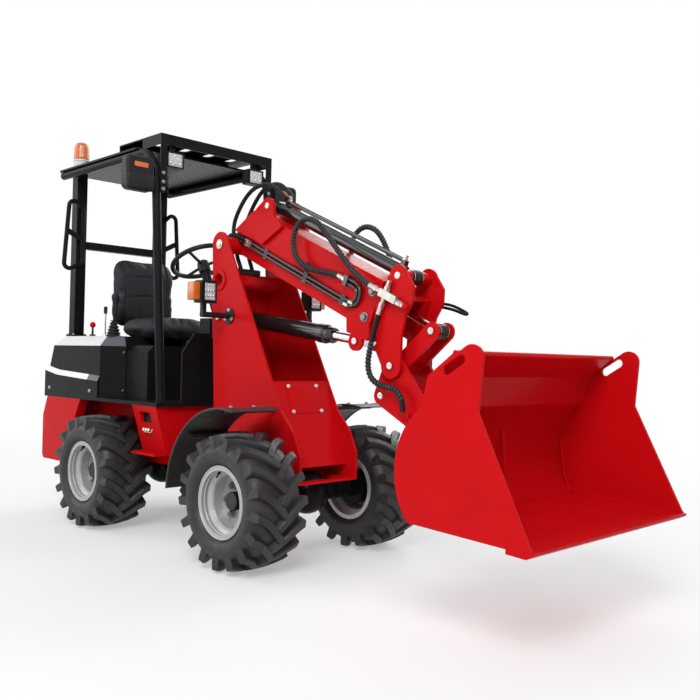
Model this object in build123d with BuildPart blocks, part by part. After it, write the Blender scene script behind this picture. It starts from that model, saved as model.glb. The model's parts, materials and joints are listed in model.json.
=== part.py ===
from build123d import *
from math import atan, atan2, cos, degrees, radians, sin, tan
import os

# Compact articulated wheel loader with a telescopic boom, a bucket and an open canopy.
# Millimetres. The origin is on the ground under the middle of the machine, +X forward, +Y left.
# Stations below are measured forward from the front axle, heights from the ground.

# Whole machine
WHEELBASE = 1356
TRACK = 846
REAR_REACH = 2147
FRONT_REACH = 1736
FRONT_AXLE_X = (REAR_REACH - FRONT_REACH) / 2
RUN_FIT = 0.05
SEAT_GAP = 0.3
CLEAR = 6
PLATE = 12

# Wheels: 26 inch tyre on a 12 inch rim
TYRE_R = 330
TYRE_WIDTH = 300
TYRE_SIDES = 17
TREAD_WIDTH = 210
TREAD_R = 296
SHOULDER_R = 236
SHOULDER_RIM = 8
BEAD_COVER = 12
LUG_COUNT = 17
LUG_START = 6
LUG_LEAD = 62
LUG_HALF = 23
LUG_DROP = 14
LUG_ROOT_R = 230
RIM_SEAT_R = 158
RIM_WIDTH = 256
RIM_FLANGE_R = 174
RIM_WALL = 6
FLANGE_THICK = 8
RIM_WELL_R = 134
RIM_WELL_HALF = 70
RIM_SLOPE = 20
RIM_DISC_Y = 14
RIM_DISC = 8
HUB_R = 45
HUB_END_Y = 58
NUT_COUNT = 6
NUT_CIRCLE_R = 78
NUT_R = 14
NUT_TALL = 20
AXLE_TUBE_R = 52
AXLE_FLANGE_R = 92
AXLE_FLANGE = 110
DIFF_R = 112
AXLE_PAD = 90

# Articulation between the two frames
PIVOT_X = -WHEELBASE / 2
PIVOT_PIN_R = 25
PIVOT_LUG_R = 60
PIVOT_LUG = 20
PIVOT_LOW_Z = 322
PIVOT_HIGH_Z = 570

# Front frame with its tower
CHEEK_Y = 200
BOOM_PIVOT = (-534, 1636)
BOOM_PIN_R = 20
TOWER_LOBE_R = 68
TOWER_REAR_X = -555
TOWER_FLOOR_Z = 397
TOWER_KNEE = (14, 754)
TOWER_SHIN = (110, 650)
TOWER_TOE = (165, 540)
CROSS_TUBE = (-530, 1439)
CROSS_TUBE_R = 45
CROSS_TUBE_WALL = 10
BOSS_R = 58
BOSS = 8
PIN_CAP = 6
FRONT_PLATE_TOP = (-67, 900)
FRONT_PLATE_LOW = (92, 470)
LIFT_BASE = (-530, 1236)
BACK_PLATE_TOP = 1130
BACK_KNEE_Z = 720
TOWER_HEEL = (130, 110)
TOWER_LUG_ROOT = 40
TOWER_WEB = 150
TOWER_WEB_RIM = 10
TOWER_WEB_SINK = 5
LIFT_BOSS_RIM = 10
STEER_LUG_REACH = 125
STEER_LUG_INSET = 10
STEER_LUG_ROOT_R = 20
STEER_LUG_RIM = 4

# Boom: along is measured down the boom from its pivot, up at right angles to it
BOOM_SLOPE = -24
BOOM_HALF_WIDTH = 80
BOOM_WALL = 10
BOOM_LOW = -22
BOOM_TALL = 250
BOOM_END = 1125
BOOM_HUB_R = 46
CAVITY_REAR = 140
BRACKET_PIN = (175, 290)
BRACKET_LOBE_R = 44
BRACKET_PLATE = 20
BRACKET_HEEL = (175, 200)
BRACKET_HEEL_R = 95
PAD_LENGTH = 80
PAD_REAR = 420
PAD_FRONT_GAP = 10
LIFT_PIN = (1074, -100)
LIFT_LOBE_R = 46
RELIEF_REAR = 90
RELIEF_FRONT = 40
LUG_PLATE = 16
INNER_GAP = 12
INNER_WALL = 8
INNER_REAR = 330
INNER_END = 1290
HEAD_Y = 113
HEAD_PLATE = 15
SPACER_REAR = 1200
SPACER_LIFT = 20
HEAD_TOP_PIN = (1222, 290)
HEAD_LOBE_R = 50
COUPLER_PIVOT = (1359, -97)
COUPLER_LOBE_R = 58
LEVER_PIN = (1468, 126)
LEVER_LOBE_R = 42
LEVER_Y = 57
TILT_BASE = (700, 140)

# Cylinders
PIN_R = 17.5
TELESCOPE_R = 31
TELESCOPE_ROD_R = 17.5
TELESCOPE_BARREL = 985
TELESCOPE_EYE_R = 34
TELESCOPE_EYE_HALF = 30
TELESCOPE_CAP = 100
PORT_HALF = 13
PORT_UP = 345
PORT_REAR = 222
PORT_FRONT = 1138
LIFT_R = 45
LIFT_ROD_R = 25
LIFT_BARREL = 660
LIFT_RETRACT = 155
LIFT_EYE_R = 24
LIFT_EYE_HALF = 45
TILT_R = 29
TILT_ROD_R = 17.5
TILT_BARREL = 420
TILT_RETRACT = 95
TILT_EYE_R = 34
TILT_EYE_HALF = 28
STEER_R = 24
STEER_ROD_R = 12.5
STEER_BARREL = 330
STEER_RETRACT = 102
STEER_EYE_R = 20
STEER_EYE_HALF = 18
STEER_LUG_GAP = 2
STEER_Z = 448
STEER_BASE_BACK = 480
STEER_BASE = (PIVOT_X - STEER_BASE_BACK, 120)
STEER_PIN_FRONT = 39
STEER_PIN = (PIVOT_X + STEER_PIN_FRONT, 145)
STEER_PIN_R = 10
STEER_HOLE = (70, 200, 45)
STEER_SEAT = 30
BASE_EYE_RIM = 3
GLAND_RIM = 4
GLAND_LENGTH = 45
CUT_PAST = 1

# Hydraulic lines on the boom
PIPE_R = 8
PIPE_STANDOFF = 5
PIPE_REAR = 88
CLAMP_STATIONS = (250, 600, 900)
CLAMP_LENGTH = 30
HOSE_R = 12
ARC_SHARE = 0.45
MANIFOLD_REAR = 1172
MANIFOLD_LENGTH = 110
MANIFOLD_UP = 190
MANIFOLD_TALL = 36
MANIFOLD_DEEP = 32
PORT_LENGTH = 30
HOSE_Y = HEAD_Y + MANIFOLD_DEEP / 2

# Bucket, its outline seen from the side
BUCKET_WIDTH = 1156
BUCKET_SHEET = 10
BUCKET_TIP_Z = 397
BUCKET_HEEL = (1191, 423)
BUCKET_BULGE = (1128, 672)
BUCKET_WAIST = (1246, 851)
BUCKET_SHOULDER = (1277, 969)
BUCKET_LIP = (1390, 1052)
BUCKET_LOBE = (1470, 1036)
BUCKET_LOBE_R = 48
BUCKET_KINK = (1502, 845)
EDGE_LENGTH = 110
EDGE_THICK = 16
EDGE_RISE = 5
EDGE_BEVEL = 30
BUCKET_TOE = (16, 20)
LIFT_SLOT = (110, 36)
LIFT_SLOT_PLACE = (-77, -26)
LIFT_SLOT_LEAN = 32
EAR_INSET = 2
HITCH_LOBE = (590, 855)
HITCH_LOBE_R = 40
HITCH_FRONT_LOW = (760, 735)
HITCH_FRONT_HIGH = (850, 830)
HITCH_FRONT_R = 12
HITCH_PORT = (772, 778)
LEVER_PLATE = 12
PIVOT_TUBE_R = 34
LEVER_ROOT_RIM = 8

# Rear frame
DECK_Z = 755
DECK_PLATE = 20
DECK_HALF = 430
DECK_FRONT_X = -748
DECK_NOSE = (20, 60)
FRAME_HALF = 230
FRAME_LOW_Z = 386
FRAME_FRONT_X = -775
FRAME_INSET = 197
FRAME_REAR_X = -REAR_REACH + FRAME_INSET
FRAME_CROSS_TALL = 130
FRAME_CROSS_GAP = 30
LUG_ROOT_HALF = 90
LUG_WEB = 60
FRAME_LUG_ROOT = 40
WEIGHT_LOW_Z = 326
WEIGHT_WALL = 60
WEIGHT_REAR_WALL = 150
WEIGHT_TOP_LENGTH = 507
WEIGHT_LOW_LENGTH = 283
WEIGHT_KNEE_Z = 610
WEIGHT_TOP_SLOPE = 57
WEIGHT_FOOT = (20, 25)
TANK_REAR_X = -1021
TANK_LOW_Z = 474
TANK_LOW_Y = 353
TANK_DOOR = (-960, -850)
TANK_DOOR_Z = (640, 700)
TANK_DOOR_DEEP = 45
TANK_GAP = 1
STEP_PLATE = 12
ENGINE_REAR_GAP = 60
ENGINE_FRONT_GAP = 90
ENGINE_FOOT = (100, 60)
ENGINE_WIDTH = 400
ENGINE_LOW_Z = 480
ENGINE_TALL = 480

# Hood and seat
HOOD_FRONT_X = -1320
HOOD_INSET = 14
HOOD_REAR_X = -REAR_REACH + HOOD_INSET
HOOD_FLARE = 15
HOOD_HALF = DECK_HALF - HOOD_FLARE
HOOD_SIDE_TOP = 1068
HOOD_TOP = 1130
HOOD_CORNER = 110
HOOD_WALL = 8
HOOD_LEAN = 63
HOOD_CROWN = 34
BAND_DEEP = 28
BAND_LEDGE = 33
BAND_REAR_Z = 905
BAND_KNEE_Z = 878
BAND_FRONT_Z = 853
BAND_KNEE_LENGTH = 178
GRILLE_HALF = 280
GRILLE_LOW = 22
GRILLE_DEEP = 12
GRILLE_FRAME = 16
GRILLE_BARS = 4
GRILLE_PITCH = 27
GRILLE_SLOT = 14
SEAT_BOX_HALF = 300
SEAT_BOX_FRONT_X = -1080
SEAT_BOX_TOP = 1075
SEAT_HALF = 240
SEAT_FRONT_X = -1150
SEAT_REAR_X = -1610
SEAT_TOP = 1232
SEAT_BACK_TOP = 1660
SEAT_BACK_THICK = 100
SEAT_BACK_DROP = 60
SEAT_BACK_CORNER = 90
SEAT_CORNER = 60
SEAT_ROLL = 28
SEAT_BOX_CHAMFER = 40
LEVER_INSET = 41
JOYSTICK_BACK = 100
BOOT_RIM = 1

# Steering column and wheel
COLUMN_X = -815
COLUMN_BOX = (50, 90, 485)
COLUMN_SHAFT = 335
PANEL_HALF = 280
PANEL_KNEE_Z = 285
PANEL_TOP_Z = 395
PANEL_CORNER = 80
PANEL_INSET = 2
WHEEL_CENTRE = (-985, 1590)
WHEEL_LEAN = 27
WHEEL_RING_R = 180
WHEEL_TUBE_R = 14
COLUMN_R = 28
WHEEL_HUB_R = 36
WHEEL_HUB_TALL = 45
SPOKE_R = 9
SPOKE_DROP = 30
SPOKE_ANGLES = (90, 210, 330)

# Canopy
POST_INSET = 174
POST_X = HOOD_REAR_X + POST_INSET
POST_SIZE = 70
POST_FOOT = 48
POST_FOOT_PLATE = 10
POST_Y = HOOD_HALF - HOOD_TOP + HOOD_SIDE_TOP - POST_FOOT
CROSSBAR_SIZE = (44, 50)
CROSSBAR_Z = 1733
TUBE_R = 24
TUBE_INSET = 30
TUBE_Y = DECK_HALF - TUBE_INSET
TUBE_FOOT = 8
TUBE_BASE_X = -773
TUBE_TOP_X = -890
TUBE_BEND_R = 150
ROOF_Z = 2212
ROOF_SHEET = 12
ROOF_INSET = 96
ROOF_REAR_X = HOOD_REAR_X + ROOF_INSET
ROOF_CORNER = 40
ROOF_FRONT_X = -1040
GUARD_TOP_Z = 2262
GUARD_REAR_X = -1294
GUARD_FRONT_X = -836
GUARD_INSET = 3
GUARD_HALF = TUBE_Y - GUARD_INSET
GUARD_SHEET = 8
GUARD_RIM = 60
GUARD_LEG = 40
GUARD_LEG_Z = 1930
SLOT_ROWS = (-255, -85, 85, 255)
SLOT_FRONT = 72
SLOT_LENGTH = 212
SLOT_WIDTH = 55
HANDLE_R = 14
HANDLE_REACH = 128
HANDLE_TAPER = 34
HANDLE_LOW_Z = 1548
HANDLE_TOP_Z = 2050
HANDLE_INNER_LOW = 62
HANDLE_INNER_TOP = 90
HANDLE_BEND = 34
HANDLE_CLAMPS = (1670, 1890)
HANDLE_GAP = 4
BRACE_LOW = 192
BRACE_RISE = 58
BRACE_TALL = 38
MIRROR_OUT = 122
MIRROR_Y = TUBE_Y + MIRROR_OUT
MIRROR_Z = 2015
MIRROR_WIDTH = 172
MIRROR_TALL = 190
MIRROR_DEEP = 60
MIRROR_CORNER = 30
MIRROR_ARM_R = 12
BEACON_INSET = (137, 70)
BEACON_TOP_Z = 2395
BEACON_R = 46
BEACON_BASE = 62
BEACON_DOME = 28
WORK_LIGHT_Y = 290
WORK_LIGHT_Z = 2130
WORK_LIGHT = (60, 110, 90)
WORK_LIGHT_STEM = 24
WORK_LIGHT_GAP = 15

# Fenders and headlamps
FENDER_R = 440
FENDER_SHEET = 6
FENDER_IN_Y = 283
FENDER_OUT_Y = 562
FENDER_FRONT_ANGLE = 78
FENDER_REAR_ANGLE = 178
STAY_R = 13
STAY_ANGLES = (95, 138)
STAY_INSET = 60
STAY_SINK = 3
LAMP = (-411, 373, 1357)
LAMP_WIDTH = 96
LAMP_TALL = 118
LAMP_DEEP = 70
LAMP_CORNER = 14
MARKER_WIDTH = 40
MARKER_INSET = 13
LAMP_BRACKET_Z = 1239
LAMP_BRACKET_R = 15
LAMP_FLANGE_R = 42
LAMP_FLANGE = 8
LAMP_STEM = 24
LAMP_STEM_BACK = 18

# Working planes: the side view, the plan view, the section across, and the boom's own side view
SIDE = Plane((FRONT_AXLE_X, 0, 0), x_dir=(1, 0, 0), z_dir=(0, -1, 0))
PLAN = Plane((FRONT_AXLE_X, 0, 0), x_dir=(1, 0, 0), z_dir=(0, 0, 1))
ACROSS = Plane((FRONT_AXLE_X, 0, 0), x_dir=(0, 1, 0), z_dir=(1, 0, 0))
BOOM_DIR = (cos(radians(BOOM_SLOPE)), sin(radians(BOOM_SLOPE)))
BOOM = Plane(
    (FRONT_AXLE_X + BOOM_PIVOT[0], 0, BOOM_PIVOT[1]),
    x_dir=(BOOM_DIR[0], 0, BOOM_DIR[1]),
    z_dir=(0, -1, 0),
)
REAR_AXLE_X = -WHEELBASE
BUCKET_HALF = BUCKET_WIDTH / 2
BUCKET_TIP = (FRONT_REACH, BUCKET_TIP_Z)
INNER_LOW = BOOM_LOW + BOOM_WALL + INNER_GAP
INNER_HIGH = BOOM_LOW + BOOM_TALL - BOOM_WALL - INNER_GAP
INNER_HALF = BOOM_HALF_WIDTH - BOOM_WALL - INNER_GAP
HITCH_Y = HEAD_Y - HEAD_PLATE - CLEAR


def from_boom(point):
    """Station and height of a point given along and up from the boom."""
    along, up = point
    station = BOOM_PIVOT[0] + along * BOOM_DIR[0] - up * BOOM_DIR[1]
    height = BOOM_PIVOT[1] + along * BOOM_DIR[1] + up * BOOM_DIR[0]
    return (station, height)


def tangent_point(centre, radius, point, side):
    """Where the line from an outside point touches a circle, on its left (1) or right (-1)."""
    dx, dy = centre[0] - point[0], centre[1] - point[1]
    reach = (dx * dx + dy * dy - radius * radius) ** 0.5
    heading = atan2(dy, dx) + side * atan2(radius, reach)
    return (point[0] + reach * cos(heading), point[1] + reach * sin(heading))


def plate(plane, outline, near, far, mode=Mode.ADD):
    """Plate with a straight-sided outline, between two offsets of its plane."""
    with BuildSketch(plane.offset(near)) as face:
        with BuildLine():
            Polyline(*outline, close=True)
        make_face()
    extrude(face.sketch, amount=far - near, mode=mode)


def bar(rear, front, low, high):
    """Outline of a level bar in a side view."""
    return ((rear, low), (front, low), (front, high), (rear, high))


def disc(plane, centre, radius, near, far, mode=Mode.ADD):
    """Round boss, pin or bore between two offsets of its plane."""
    with BuildSketch(plane.offset(near)) as face:
        with Locations(centre):
            Circle(radius)
    extrude(face.sketch, amount=far - near, mode=mode)


def link(plane, ends, radii, near, far, mode=Mode.ADD):
    """Plate wrapped tightly round circles, between two offsets of its plane."""
    with BuildSketch(plane.offset(near)) as face:
        for centre, radius in zip(ends, radii):
            with Locations(centre):
                Circle(radius)
        make_hull()
    extrude(face.sketch, amount=far - near, mode=mode)


def block(low, high, mode=Mode.ADD):
    """Box between two corners given as station, y and height."""
    with Locations(tuple((a + b) / 2 + o for a, b, o in zip(low, high, (FRONT_AXLE_X, 0, 0)))):
        Box(*(b - a for a, b in zip(low, high)), mode=mode)


def bent_tube(points, bend, radius):
    """Round bar or tube along straight runs joined by bends of one radius."""
    with BuildLine() as path:
        FilletPolyline(*[(x + FRONT_AXLE_X, y, z) for x, y, z in points], radius=bend)
    with BuildSketch(path.line ^ 0) as section:
        Circle(radius)
    sweep(section.sketch, path=path.line)


def finish(made, name):
    """Label a finished piece and write it."""
    made.part.label = name
    export_step(made.part, f"parts/{name}.step")


os.makedirs("parts", exist_ok=True)

# Tyre: a faceted carcass with staggered chevron lugs, made once for all four corners
RIM_HALF = RIM_WIDTH / 2
TYRE_HALF = TYRE_WIDTH / 2
BEAD_HALF = RIM_HALF - FLANGE_THICK - SEAT_GAP
LUG_TIP = (TYRE_R**2 - (LUG_LEAD + LUG_HALF) ** 2) ** 0.5
LUG_PITCH = 360 / LUG_COUNT
LUG_PHASE = 180 - degrees(atan((LUG_LEAD + LUG_HALF) / LUG_TIP))


def ring(y, radius):
    """Facet ring of the tyre: a polygon across the axle at a distance from its middle."""
    with BuildSketch(Plane.XZ.offset(-y)) as section:
        RegularPolygon(radius, TYRE_SIDES)
    return section.sketch


with BuildPart() as lug:
    with BuildSketch(Plane.XZ.offset(-LUG_START)) as lug_root:
        with Locations((LUG_LEAD, (LUG_ROOT_R + LUG_TIP) / 2)):
            Rectangle(2 * LUG_HALF, LUG_TIP - LUG_ROOT_R)
    lug_run = Vector(-2 * LUG_LEAD, TYRE_HALF - LUG_START, -LUG_DROP)
    extrude(lug_root.sketch, amount=lug_run.length, dir=lug_run)

with BuildPart() as tyre_form:
    tread_half = TREAD_WIDTH / 2
    outline = ((-TYRE_HALF, SHOULDER_R), (-tread_half, TREAD_R))
    outline += ((tread_half, TREAD_R), (TYRE_HALF, SHOULDER_R))
    loft([ring(y, radius) for y, radius in outline], ruled=True)
    for side in (-1, 1):
        outer_lip = ring(side * TYRE_HALF, SHOULDER_R - SHOULDER_RIM)
        bead_lip = ring(side * BEAD_HALF, RIM_FLANGE_R + BEAD_COVER)
        loft((outer_lip, bead_lip), ruled=True, mode=Mode.SUBTRACT)
    with BuildSketch(Plane.XZ.offset(-TYRE_HALF)) as bead:
        RegularPolygon(RIM_SEAT_R + SEAT_GAP, TYRE_SIDES, major_radius=False)
    extrude(bead.sketch, amount=TYRE_WIDTH, mode=Mode.SUBTRACT)
    for hand, stagger in ((1, 0), (-1, LUG_PITCH / 2)):
        turns = [LUG_PHASE + stagger + LUG_PITCH * step for step in range(LUG_COUNT)]
        one_side = lug.part if hand > 0 else lug.part.mirror(Plane.XZ)
        with Locations(*(Location((0, 0, 0), (0, turn, 0)) for turn in turns)):
            add(one_side)

# Wheels: a tyre and a deep-dish rim at each corner
# corner, axle station, side of the machine
CORNERS = (
    ("front_left", 0, 1),
    ("front_right", 0, -1),
    ("rear_left", REAR_AXLE_X, 1),
    ("rear_right", REAR_AXLE_X, -1),
)
RIM_INNER = RIM_SEAT_R - RIM_WALL
WELL_INNER = RIM_WELL_R - RIM_WALL
SEAT_HALF_Y = RIM_HALF - FLANGE_THICK
SLOPE_END = RIM_WELL_HALF + RIM_SLOPE
RIM_SECTION = (
    (RIM_HALF, RIM_FLANGE_R),
    (SEAT_HALF_Y, RIM_FLANGE_R),
    (SEAT_HALF_Y, RIM_SEAT_R),
    (SLOPE_END, RIM_SEAT_R),
    (RIM_WELL_HALF, RIM_WELL_R),
    (0, RIM_WELL_R),
    (0, WELL_INNER),
    (RIM_WELL_HALF, WELL_INNER),
    (SLOPE_END, RIM_INNER),
    (RIM_HALF, RIM_INNER),
)
for corner, station, hand in CORNERS:
    hub = Vector(FRONT_AXLE_X + station, hand * TRACK / 2, TYRE_R)
    with BuildPart() as tyre:
        with Locations(hub):
            add(tyre_form.part)
    finish(tyre, f"tyre_{corner}")

    with BuildPart() as rim:
        with BuildSketch(Plane(hub, x_dir=(0, hand, 0), z_dir=(hand, 0, 0))):
            with BuildLine():
                Polyline(*RIM_SECTION, close=True)
            make_face()
            mirror(about=Plane.YZ)
            disc_in = HUB_R + RUN_FIT
            with Locations((RIM_DISC_Y, (RIM_WELL_R + disc_in) / 2)):
                Rectangle(RIM_DISC, RIM_WELL_R - disc_in)
        revolve(axis=Axis(hub, (0, 1, 0)))
        with BuildSketch(Plane(hub, x_dir=(1, 0, 0), z_dir=(0, hand, 0)).offset(RIM_DISC_Y)):
            with PolarLocations(NUT_CIRCLE_R, NUT_COUNT):
                RegularPolygon(NUT_R, 6)
        extrude(amount=NUT_TALL)
    finish(rim, f"rim_{corner}")

# Axles with a round differential housing, drum flanges and a spindle through each wheel
# node, axle station, side on which the drive shaft leaves
AXLES = (("front_axle", 0, -1), ("rear_axle", REAR_AXLE_X, 1))
for name, station, shaft_side in AXLES:
    with BuildPart() as axle:
        centre = (station, TYRE_R)
        flange_y = TRACK / 2 + RIM_DISC_Y - RIM_DISC / 2 - SEAT_GAP
        disc(SIDE, centre, AXLE_TUBE_R, -flange_y, flange_y)
        disc(SIDE, centre, HUB_R, -TRACK / 2 - HUB_END_Y, TRACK / 2 + HUB_END_Y)
        for edge in (-flange_y, flange_y - AXLE_FLANGE):
            disc(SIDE, centre, AXLE_FLANGE_R, edge, edge + AXLE_FLANGE)
        with Locations((FRONT_AXLE_X + station, 0, TYRE_R)):
            Sphere(DIFF_R)
        nose = AXLE_PAD + DIFF_R
        disc(ACROSS.offset(station), (0, TYRE_R), AXLE_TUBE_R, 0, shaft_side * nose)
        pad_top = TOWER_FLOOR_Z if station == 0 else FRAME_LOW_Z
        for y in (-FRAME_HALF, FRAME_HALF - AXLE_PAD):
            block((station - AXLE_PAD, y, TYRE_R), (station + AXLE_PAD, y + AXLE_PAD, pad_top))
    finish(axle, name)

# Tower of the front frame: two cheeks, a sloping front plate, a back plate and cross members
TOWER_INNER = CHEEK_Y - PLATE
front_tangent = tangent_point(BOOM_PIVOT, TOWER_LOBE_R, TOWER_KNEE, -1)
rear_foot = (TOWER_REAR_X, BACK_KNEE_Z)
heel_x, heel_z = TOWER_REAR_X + TOWER_HEEL[0], TOWER_FLOOR_Z + TOWER_HEEL[1]
rear_tangent = tangent_point(BOOM_PIVOT, TOWER_LOBE_R, rear_foot, 1)
CHEEK = (
    front_tangent,
    TOWER_KNEE,
    TOWER_SHIN,
    TOWER_TOE,
    (TOWER_TOE[0], TOWER_FLOOR_Z),
    (heel_x, TOWER_FLOOR_Z),
    (TOWER_REAR_X, heel_z),
    rear_foot,
    rear_tangent,
)
with BuildPart() as tower:
    for near in (-CHEEK_Y, TOWER_INNER):
        plate(SIDE, CHEEK, near, near + PLATE)
        disc(SIDE, BOOM_PIVOT, TOWER_LOBE_R, near, near + PLATE)
        disc(SIDE, LIFT_BASE, LIFT_R + LIFT_BOSS_RIM, near, near + PLATE)
    front_plate = (
        FRONT_PLATE_TOP,
        FRONT_PLATE_LOW,
        (FRONT_PLATE_LOW[0] - PLATE, FRONT_PLATE_LOW[1]),
        (FRONT_PLATE_TOP[0] - PLATE, FRONT_PLATE_TOP[1]),
    )
    plate(SIDE, front_plate, -CHEEK_Y, CHEEK_Y)
    block((TOWER_REAR_X, -CHEEK_Y, heel_z), (TOWER_REAR_X + PLATE, CHEEK_Y, BACK_PLATE_TOP))
    block((heel_x, -CHEEK_Y, TOWER_FLOOR_Z), (TOWER_TOE[0], CHEEK_Y, TOWER_FLOOR_Z + PLATE))
    half = DIFF_R + CLEAR
    block((-half, -half, TOWER_FLOOR_Z), (half, half, TOWER_FLOOR_Z + PLATE), Mode.SUBTRACT)
    boss_y = CHEEK_Y + BOSS
    disc(SIDE, CROSS_TUBE, CROSS_TUBE_R, -CHEEK_Y, CHEEK_Y)
    for near in (-boss_y, CHEEK_Y):
        disc(SIDE, CROSS_TUBE, BOSS_R, near, near + BOSS)
        disc(SIDE, LIFT_BASE, PIN_R + PIN_CAP, near, near + BOSS)
    disc(SIDE, LIFT_BASE, PIN_R, -CHEEK_Y, CHEEK_Y)
    disc(SIDE, CROSS_TUBE, CROSS_TUBE_R - CROSS_TUBE_WALL, -boss_y, boss_y, Mode.SUBTRACT)
    disc(SIDE, BOOM_PIVOT, BOOM_PIN_R, -CHEEK_Y, CHEEK_Y, Mode.SUBTRACT)
    for low_z in (PIVOT_LOW_Z + PIVOT_LUG + CLEAR, PIVOT_HIGH_Z - PIVOT_LUG - CLEAR):
        lug_ends = ((PIVOT_X, 0), (TOWER_REAR_X + TOWER_LUG_ROOT, 0))
        link(PLAN, lug_ends, (PIVOT_LUG_R, PIVOT_LUG_R), low_z, low_z + PIVOT_LUG)
        disc(PLAN, (PIVOT_X, 0), PIVOT_PIN_R + RUN_FIT, low_z, low_z + PIVOT_LUG, Mode.SUBTRACT)
    low_lug = PIVOT_LOW_Z + PIVOT_LUG + CLEAR
    web_half = PIVOT_LUG_R + TOWER_WEB_RIM
    web_low = (TOWER_REAR_X - TOWER_WEB_SINK, -web_half, low_lug)
    block(web_low, (TOWER_REAR_X + TOWER_WEB, web_half, TOWER_FLOOR_Z + TOWER_WEB_SINK))
    for low_z in (STEER_Z - STEER_EYE_HALF - STEER_LUG_GAP - PLATE, STEER_Z + STEER_EYE_HALF + STEER_LUG_GAP):
        lug_root = (TOWER_REAR_X + STEER_LUG_REACH, TOWER_INNER - STEER_LUG_INSET)
        lug_radii = (STEER_EYE_R + STEER_LUG_RIM, STEER_LUG_ROOT_R)
        link(PLAN, (STEER_PIN, lug_root), lug_radii, low_z, low_z + PLATE)
finish(tower, "tower")

with BuildPart() as boom_pin:
    disc(SIDE, BOOM_PIVOT, BOOM_PIN_R, -CHEEK_Y, CHEEK_Y)
    for near in (-CHEEK_Y - PIN_CAP, CHEEK_Y):
        disc(SIDE, BOOM_PIVOT, BOOM_PIN_R + PIN_CAP, near, near + PIN_CAP)
finish(boom_pin, "boom_pin")

# Front fenders: an arc over each tyre, carried by two stays from the tower
with BuildPart() as fenders:
    with BuildSketch(SIDE.offset(FENDER_IN_Y)):
        with BuildLine():
            span = FENDER_REAR_ANGLE - FENDER_FRONT_ANGLE
            outer = CenterArc((0, TYRE_R), FENDER_R + FENDER_SHEET, FENDER_FRONT_ANGLE, span)
            inner = CenterArc((0, TYRE_R), FENDER_R, FENDER_FRONT_ANGLE, span)
            Line(outer @ 0, inner @ 0)
            Line(outer @ 1, inner @ 1)
        make_face()
    extrude(amount=FENDER_OUT_Y - FENDER_IN_Y)
    for angle in STAY_ANGLES:
        reach = FENDER_R - STAY_R + STAY_SINK
        stay = (reach * cos(radians(angle)), TYRE_R + reach * sin(radians(angle)))
        disc(SIDE, stay, STAY_R, CHEEK_Y, FENDER_OUT_Y - STAY_INSET)
    mirror(about=Plane.XZ)
finish(fenders, "fenders")

# Headlamps with an amber marker, each on a bracket bolted to its cheek
with BuildPart() as headlights:
    x, y, z = LAMP
    bracket = (x - LAMP_STEM_BACK, LAMP_BRACKET_Z)
    stem = LAMP_STEM / 2
    disc(SIDE, bracket, LAMP_BRACKET_R, CHEEK_Y, y + stem)
    disc(SIDE, bracket, LAMP_FLANGE_R, CHEEK_Y, CHEEK_Y + LAMP_FLANGE)
    block((bracket[0] - stem, -y - stem, LAMP_BRACKET_Z), (bracket[0] + stem, -y + stem, z))
    rear, front = x - LAMP_DEEP / 2, x + LAMP_DEEP / 2
    inner, outer = LAMP_WIDTH / 2 - y, -y - LAMP_WIDTH / 2
    low, high = z - LAMP_TALL / 2, z + LAMP_TALL / 2
    block((rear, outer, low), (front, inner, high))
    fillet(headlights.edges().filter_by(Axis.X).group_by(Axis.Z)[-1], LAMP_CORNER)
    marker_low = (rear, outer - MARKER_WIDTH, low + MARKER_INSET)
    block(marker_low, (front - MARKER_INSET, outer, high - MARKER_INSET))
    mirror(about=Plane.XZ)
finish(headlights, "headlights")

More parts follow.
